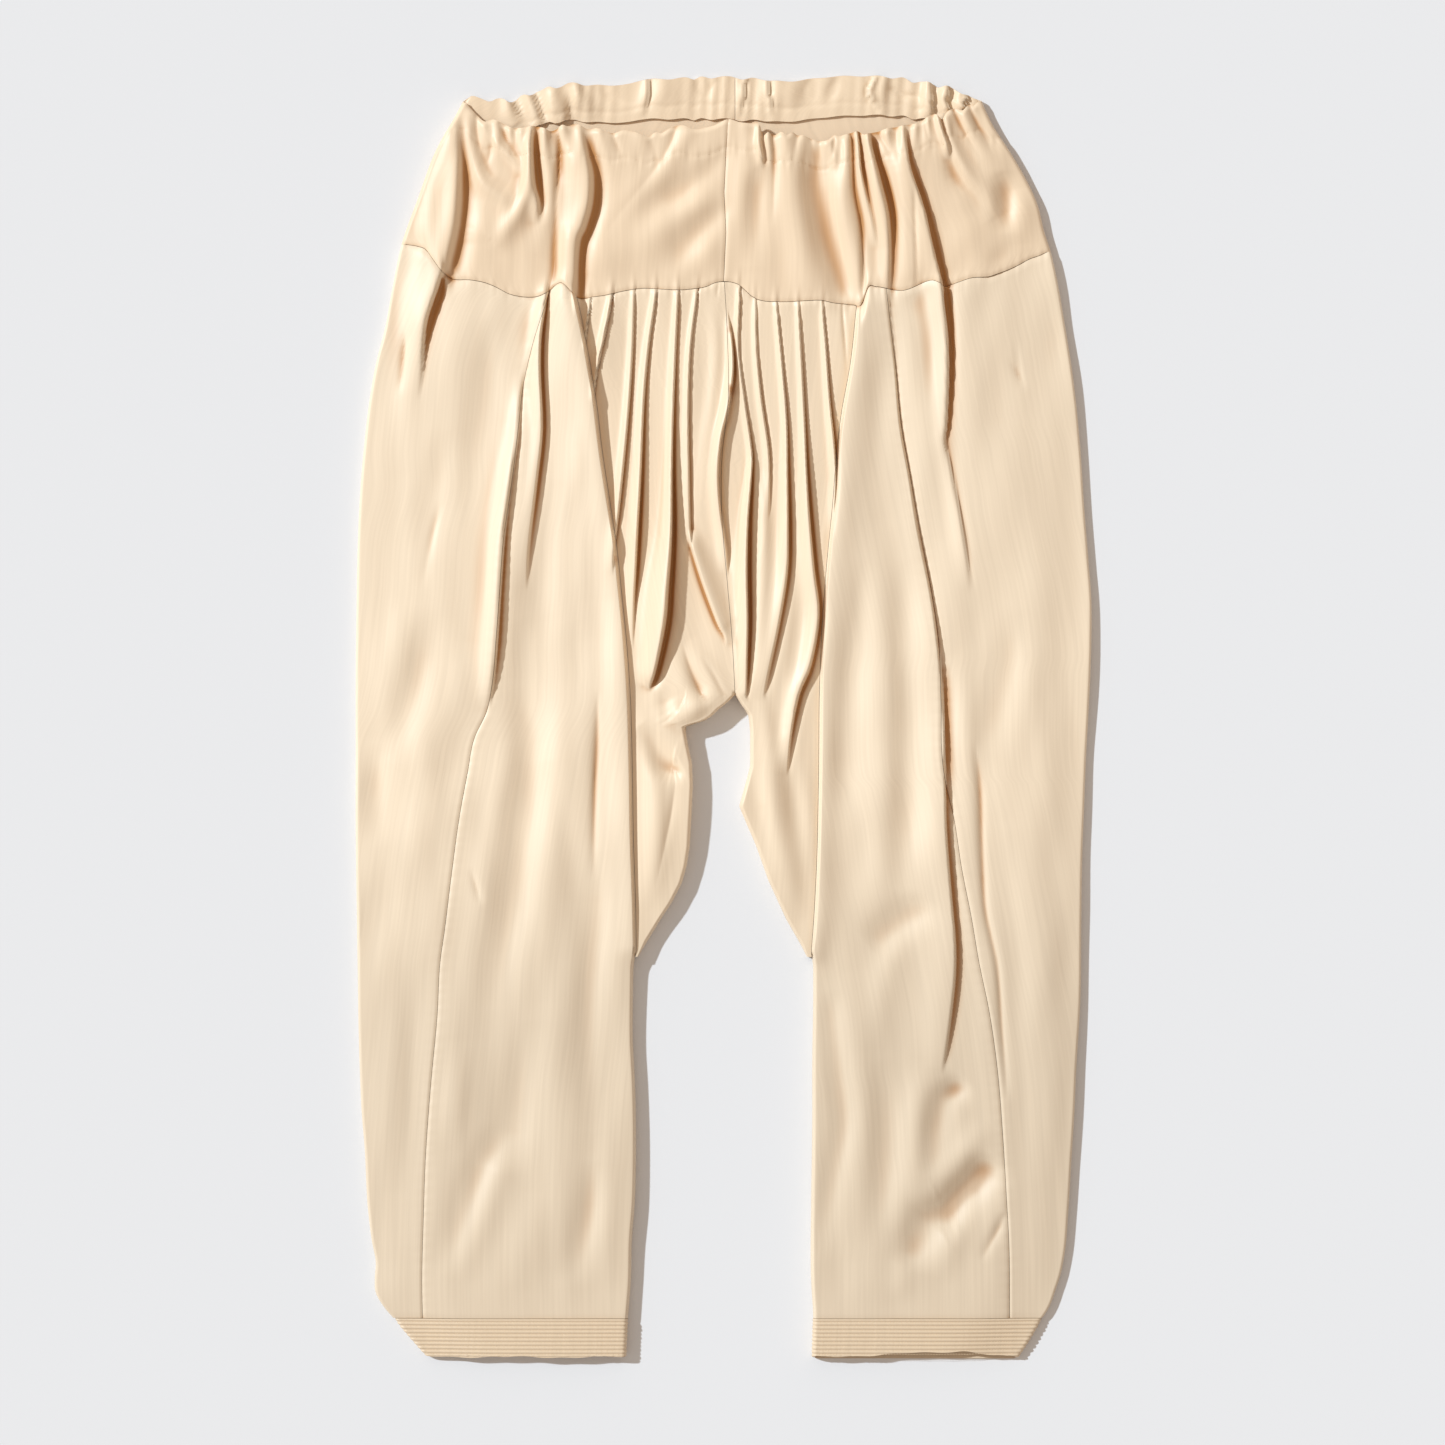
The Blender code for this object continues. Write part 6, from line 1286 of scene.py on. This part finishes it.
def makeFoldGroup():
    # colour of the cloth with painted shade: darker and more orange in the troughs of the folds, and darker towards the
    # bottom and the right of the view, with a slight change along the warp
    group, given, out = newGroup("clothColourPaintedShade", [("Colour", "NodeSocketColor", None), ("PaintedShadeColour", "NodeSocketColor", None),
                                                ("Tone", "NodeSocketFloat", 0.5)], [("Colour", "NodeSocketColor")])
    # painted shade: the further a place lies below the cloth round it, the more of the dark orange shade colour
    paintedShadeDepth = group.nodes.new("ShaderNodeAttribute")
    paintedShadeDepth.attribute_name = "paintedShadeDepth"
    share = group.nodes.new("ShaderNodeMapRange")
    share.interpolation_type = "SMOOTHSTEP"
    share.inputs["From Min"].default_value = 0.15
    share.inputs["From Max"].default_value = 2.8
    share.inputs["To Max"].default_value = 0.95
    addLink(group, paintedShadeDepth, "Fac", share, "Value")
    mixed = group.nodes.new("ShaderNodeMix")
    mixed.data_type = "RGBA"
    addLink(group, share, "Result", mixed, "Factor")
    group.links.new(given.outputs["Colour"], mixed.inputs[6])
    group.links.new(given.outputs["PaintedShadeColour"], mixed.inputs[7])
    tone = group.nodes.new("ShaderNodeMapRange")
    tone.inputs["From Min"].default_value = 0.3
    tone.inputs["From Max"].default_value = 0.7
    tone.inputs["To Min"].default_value = 0.955
    tone.inputs["To Max"].default_value = 1.02
    addLink(group, given, "Tone", tone, "Value")
    # painted shade: darker towards the bottom of the view, to 0.86, and a little towards its right, to 0.975
    where = group.nodes.new("ShaderNodeTexCoord")
    apart = group.nodes.new("ShaderNodeSeparateXYZ")
    addLink(group, where, "Object", apart, "Vector")
    steps = [tone]
    for axis, start, end, paintedShadeLevel in (("Y", -0.02, -0.27, 0.86), ("X", 0.03, 0.12, 0.975)):
        fade = group.nodes.new("ShaderNodeMapRange")
        fade.interpolation_type = "SMOOTHSTEP"
        fade.inputs["From Min"].default_value = start
        fade.inputs["From Max"].default_value = end
        fade.inputs["To Min"].default_value = 1.0
        fade.inputs["To Max"].default_value = paintedShadeLevel
        addLink(group, apart, axis, fade, "Value")
        steps.append(fade)
    level = steps[0].outputs["Result"]
    for fade in steps[1:]:
        product = group.nodes.new("ShaderNodeMath")
        product.operation = "MULTIPLY"
        group.links.new(level, product.inputs[0])
        addLink(group, fade, "Result", product, 1)
        level = product.outputs["Value"]
    shaded = group.nodes.new("ShaderNodeVectorMath")
    shaded.operation = "SCALE"
    group.links.new(mixed.outputs[2], shaded.inputs[0])
    group.links.new(level, shaded.inputs["Scale"])
    addLink(group, shaded, "Vector", out, "Colour")
    return group


warpGroup = makeWarpGroup()
foldGroup = makeFoldGroup()


def satin(name, values, fineness=1.0):
    # cloth colour and painted shade from the colour group, and a bump from warpThreads
    material = bpy.data.materials.new(name)
    material.use_nodes = True
    tree = material.node_tree
    shader = tree.nodes["Principled BSDF"]
    warp = tree.nodes.new("ShaderNodeGroup")
    warp.node_tree = warpGroup
    warp.inputs["Fineness"].default_value = fineness
    colour = tree.nodes.new("ShaderNodeGroup")
    colour.node_tree = foldGroup
    colour.inputs["Colour"].default_value = (*values["colour"], 1)
    colour.inputs["PaintedShadeColour"].default_value = (*values["deep"], 1)
    addLink(tree, warp, "Tone", colour, "Tone")
    addLink(tree, colour, "Colour", shader, "Base Color")
    bump = tree.nodes.new("ShaderNodeBump")
    bump.inputs["Strength"].default_value = 0.35
    bump.inputs["Distance"].default_value = 0.00022
    addLink(tree, warp, "Height", bump, "Height")
    addLink(tree, bump, "Normal", shader, "Normal")
    shader.inputs["Roughness"].default_value = values["roughness"]
    shader.inputs["Specular IOR Level"].default_value = 0.3
    shader.inputs["Sheen Weight"].default_value = 0.04
    shader.inputs["Sheen Roughness"].default_value = 0.4
    return material


def plain(name, colour, roughness):
    # one colour with a fine grain in its bump
    material = bpy.data.materials.new(name)
    material.use_nodes = True
    tree = material.node_tree
    shader = tree.nodes["Principled BSDF"]
    shader.inputs["Base Color"].default_value = (*colour, 1)
    shader.inputs["Roughness"].default_value = roughness
    shader.inputs["Specular IOR Level"].default_value = 0.2
    where = tree.nodes.new("ShaderNodeTexCoord")
    grain = tree.nodes.new("ShaderNodeTexNoise")
    grain.inputs["Scale"].default_value = 900
    bump = tree.nodes.new("ShaderNodeBump")
    bump.inputs["Strength"].default_value = 0.1
    bump.inputs["Distance"].default_value = 0.0002
    addLink(tree, where, "Object", grain, "Vector")
    addLink(tree, grain, "Fac", bump, "Height")
    addLink(tree, bump, "Normal", shader, "Normal")
    return material


legSatin = satin("legSatin", finish["leg"])
gussetSatin = satin("gussetSatin", finish["gusset"])
beltSatin = satin("beltSatin", finish["belt"], 0.8)
casingSatin = satin("casingSatin", finish["casing"])
hemSatin = satin("hemSatin", finish["hem"])
threadFinish = plain("sewingThread", finish["thread"], 0.55)
tableFinish = plain("tableTop", finish["table"], 0.85)


def dress(piece, node, side, extra=()):
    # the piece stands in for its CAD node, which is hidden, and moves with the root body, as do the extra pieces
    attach(piece, "root")
    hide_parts(node + "_" + side)
    for item in extra:
        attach(item, "root")


table = bpy.data.objects.new("tableTop", bpy.data.meshes.new("tableTop"))
bpy.context.scene.collection.objects.link(table)
tableHalf = 6.0
table.data.from_pydata([(-tableHalf, -tableHalf, -0.0002), (tableHalf, -tableHalf, -0.0002),
                        (tableHalf, tableHalf, -0.0002), (-tableHalf, tableHalf, -0.0002)], [], [(0, 1, 2, 3)])
table.data.materials.append(tableFinish)

for side in ("left", "right"):
    legBack = makeLegPanel(side, legSatin, False)
    gussetBack = makeGusset(side, gussetSatin, False)
    beltPiece = makeBelt(side, beltSatin)
    casingPiece = makeCasing(side, casingSatin)
    hemPiece = makeHemBand(side, hemSatin)
    sidePiece = makeSidePanel(side, legSatin)
    legFront = makeLegPanel(side, legSatin, True)
    gussetFront = makeGusset(side, gussetSatin, True)
    hemThreads = makeHemStitches(side, threadFinish)
    waistThreads = makeWaistStitches(side, threadFinish)
    dress(legBack, "leg_panel_back", side)
    dress(gussetBack, "gusset_back", side)
    dress(beltPiece, "belt", side, [waistThreads])
    dress(casingPiece, "waist_casing", side)
    dress(hemPiece, "hem_band", side, [hemThreads])
    dress(sidePiece, "side_panel", side)
    dress(legFront, "leg_panel_front", side)
    dress(gussetFront, "gusset_front", side)

# Camera straight above the middle of the view, and the light
view = {"height": 4.0, "across": -0.0004, "up": -0.00375, "sensor": 36.0, "focal": 132.9}
camera = bpy.data.objects.new("camera", bpy.data.cameras.new("camera"))
camera.data.sensor_width = view["sensor"]
camera.data.lens = view["focal"]
camera.location = (view["across"], view["up"], view["height"])
bpy.context.scene.collection.objects.link(camera)
bpy.context.scene.camera = camera

light = {"from": (-0.85, 0.42, 0.74), "key": 3.36, "keyColour": (0.815, 0.915, 1.0), "softness": 0.035,
         "fill": 0.50, "fillColour": (1.0, 0.87, 0.76)}
key = bpy.data.objects.new("key", bpy.data.lights.new("key", "SUN"))
key.data.energy = light["key"]
key.data.color = light["keyColour"]
key.data.angle = light["softness"]
direction = np.array(light["from"]) / np.linalg.norm(light["from"])
key.rotation_euler = (np.arccos(direction[2]), 0, np.arctan2(direction[1], direction[0]) + np.pi / 2)
bpy.context.scene.collection.objects.link(key)
world = bpy.data.worlds.new("studio")
world.use_nodes = True
world.node_tree.nodes["Background"].inputs["Color"].default_value = (*light["fillColour"], 1)
world.node_tree.nodes["Background"].inputs["Strength"].default_value = light["fill"]
bpy.context.scene.world = world
bpy.context.scene.view_settings.view_transform = "Standard"
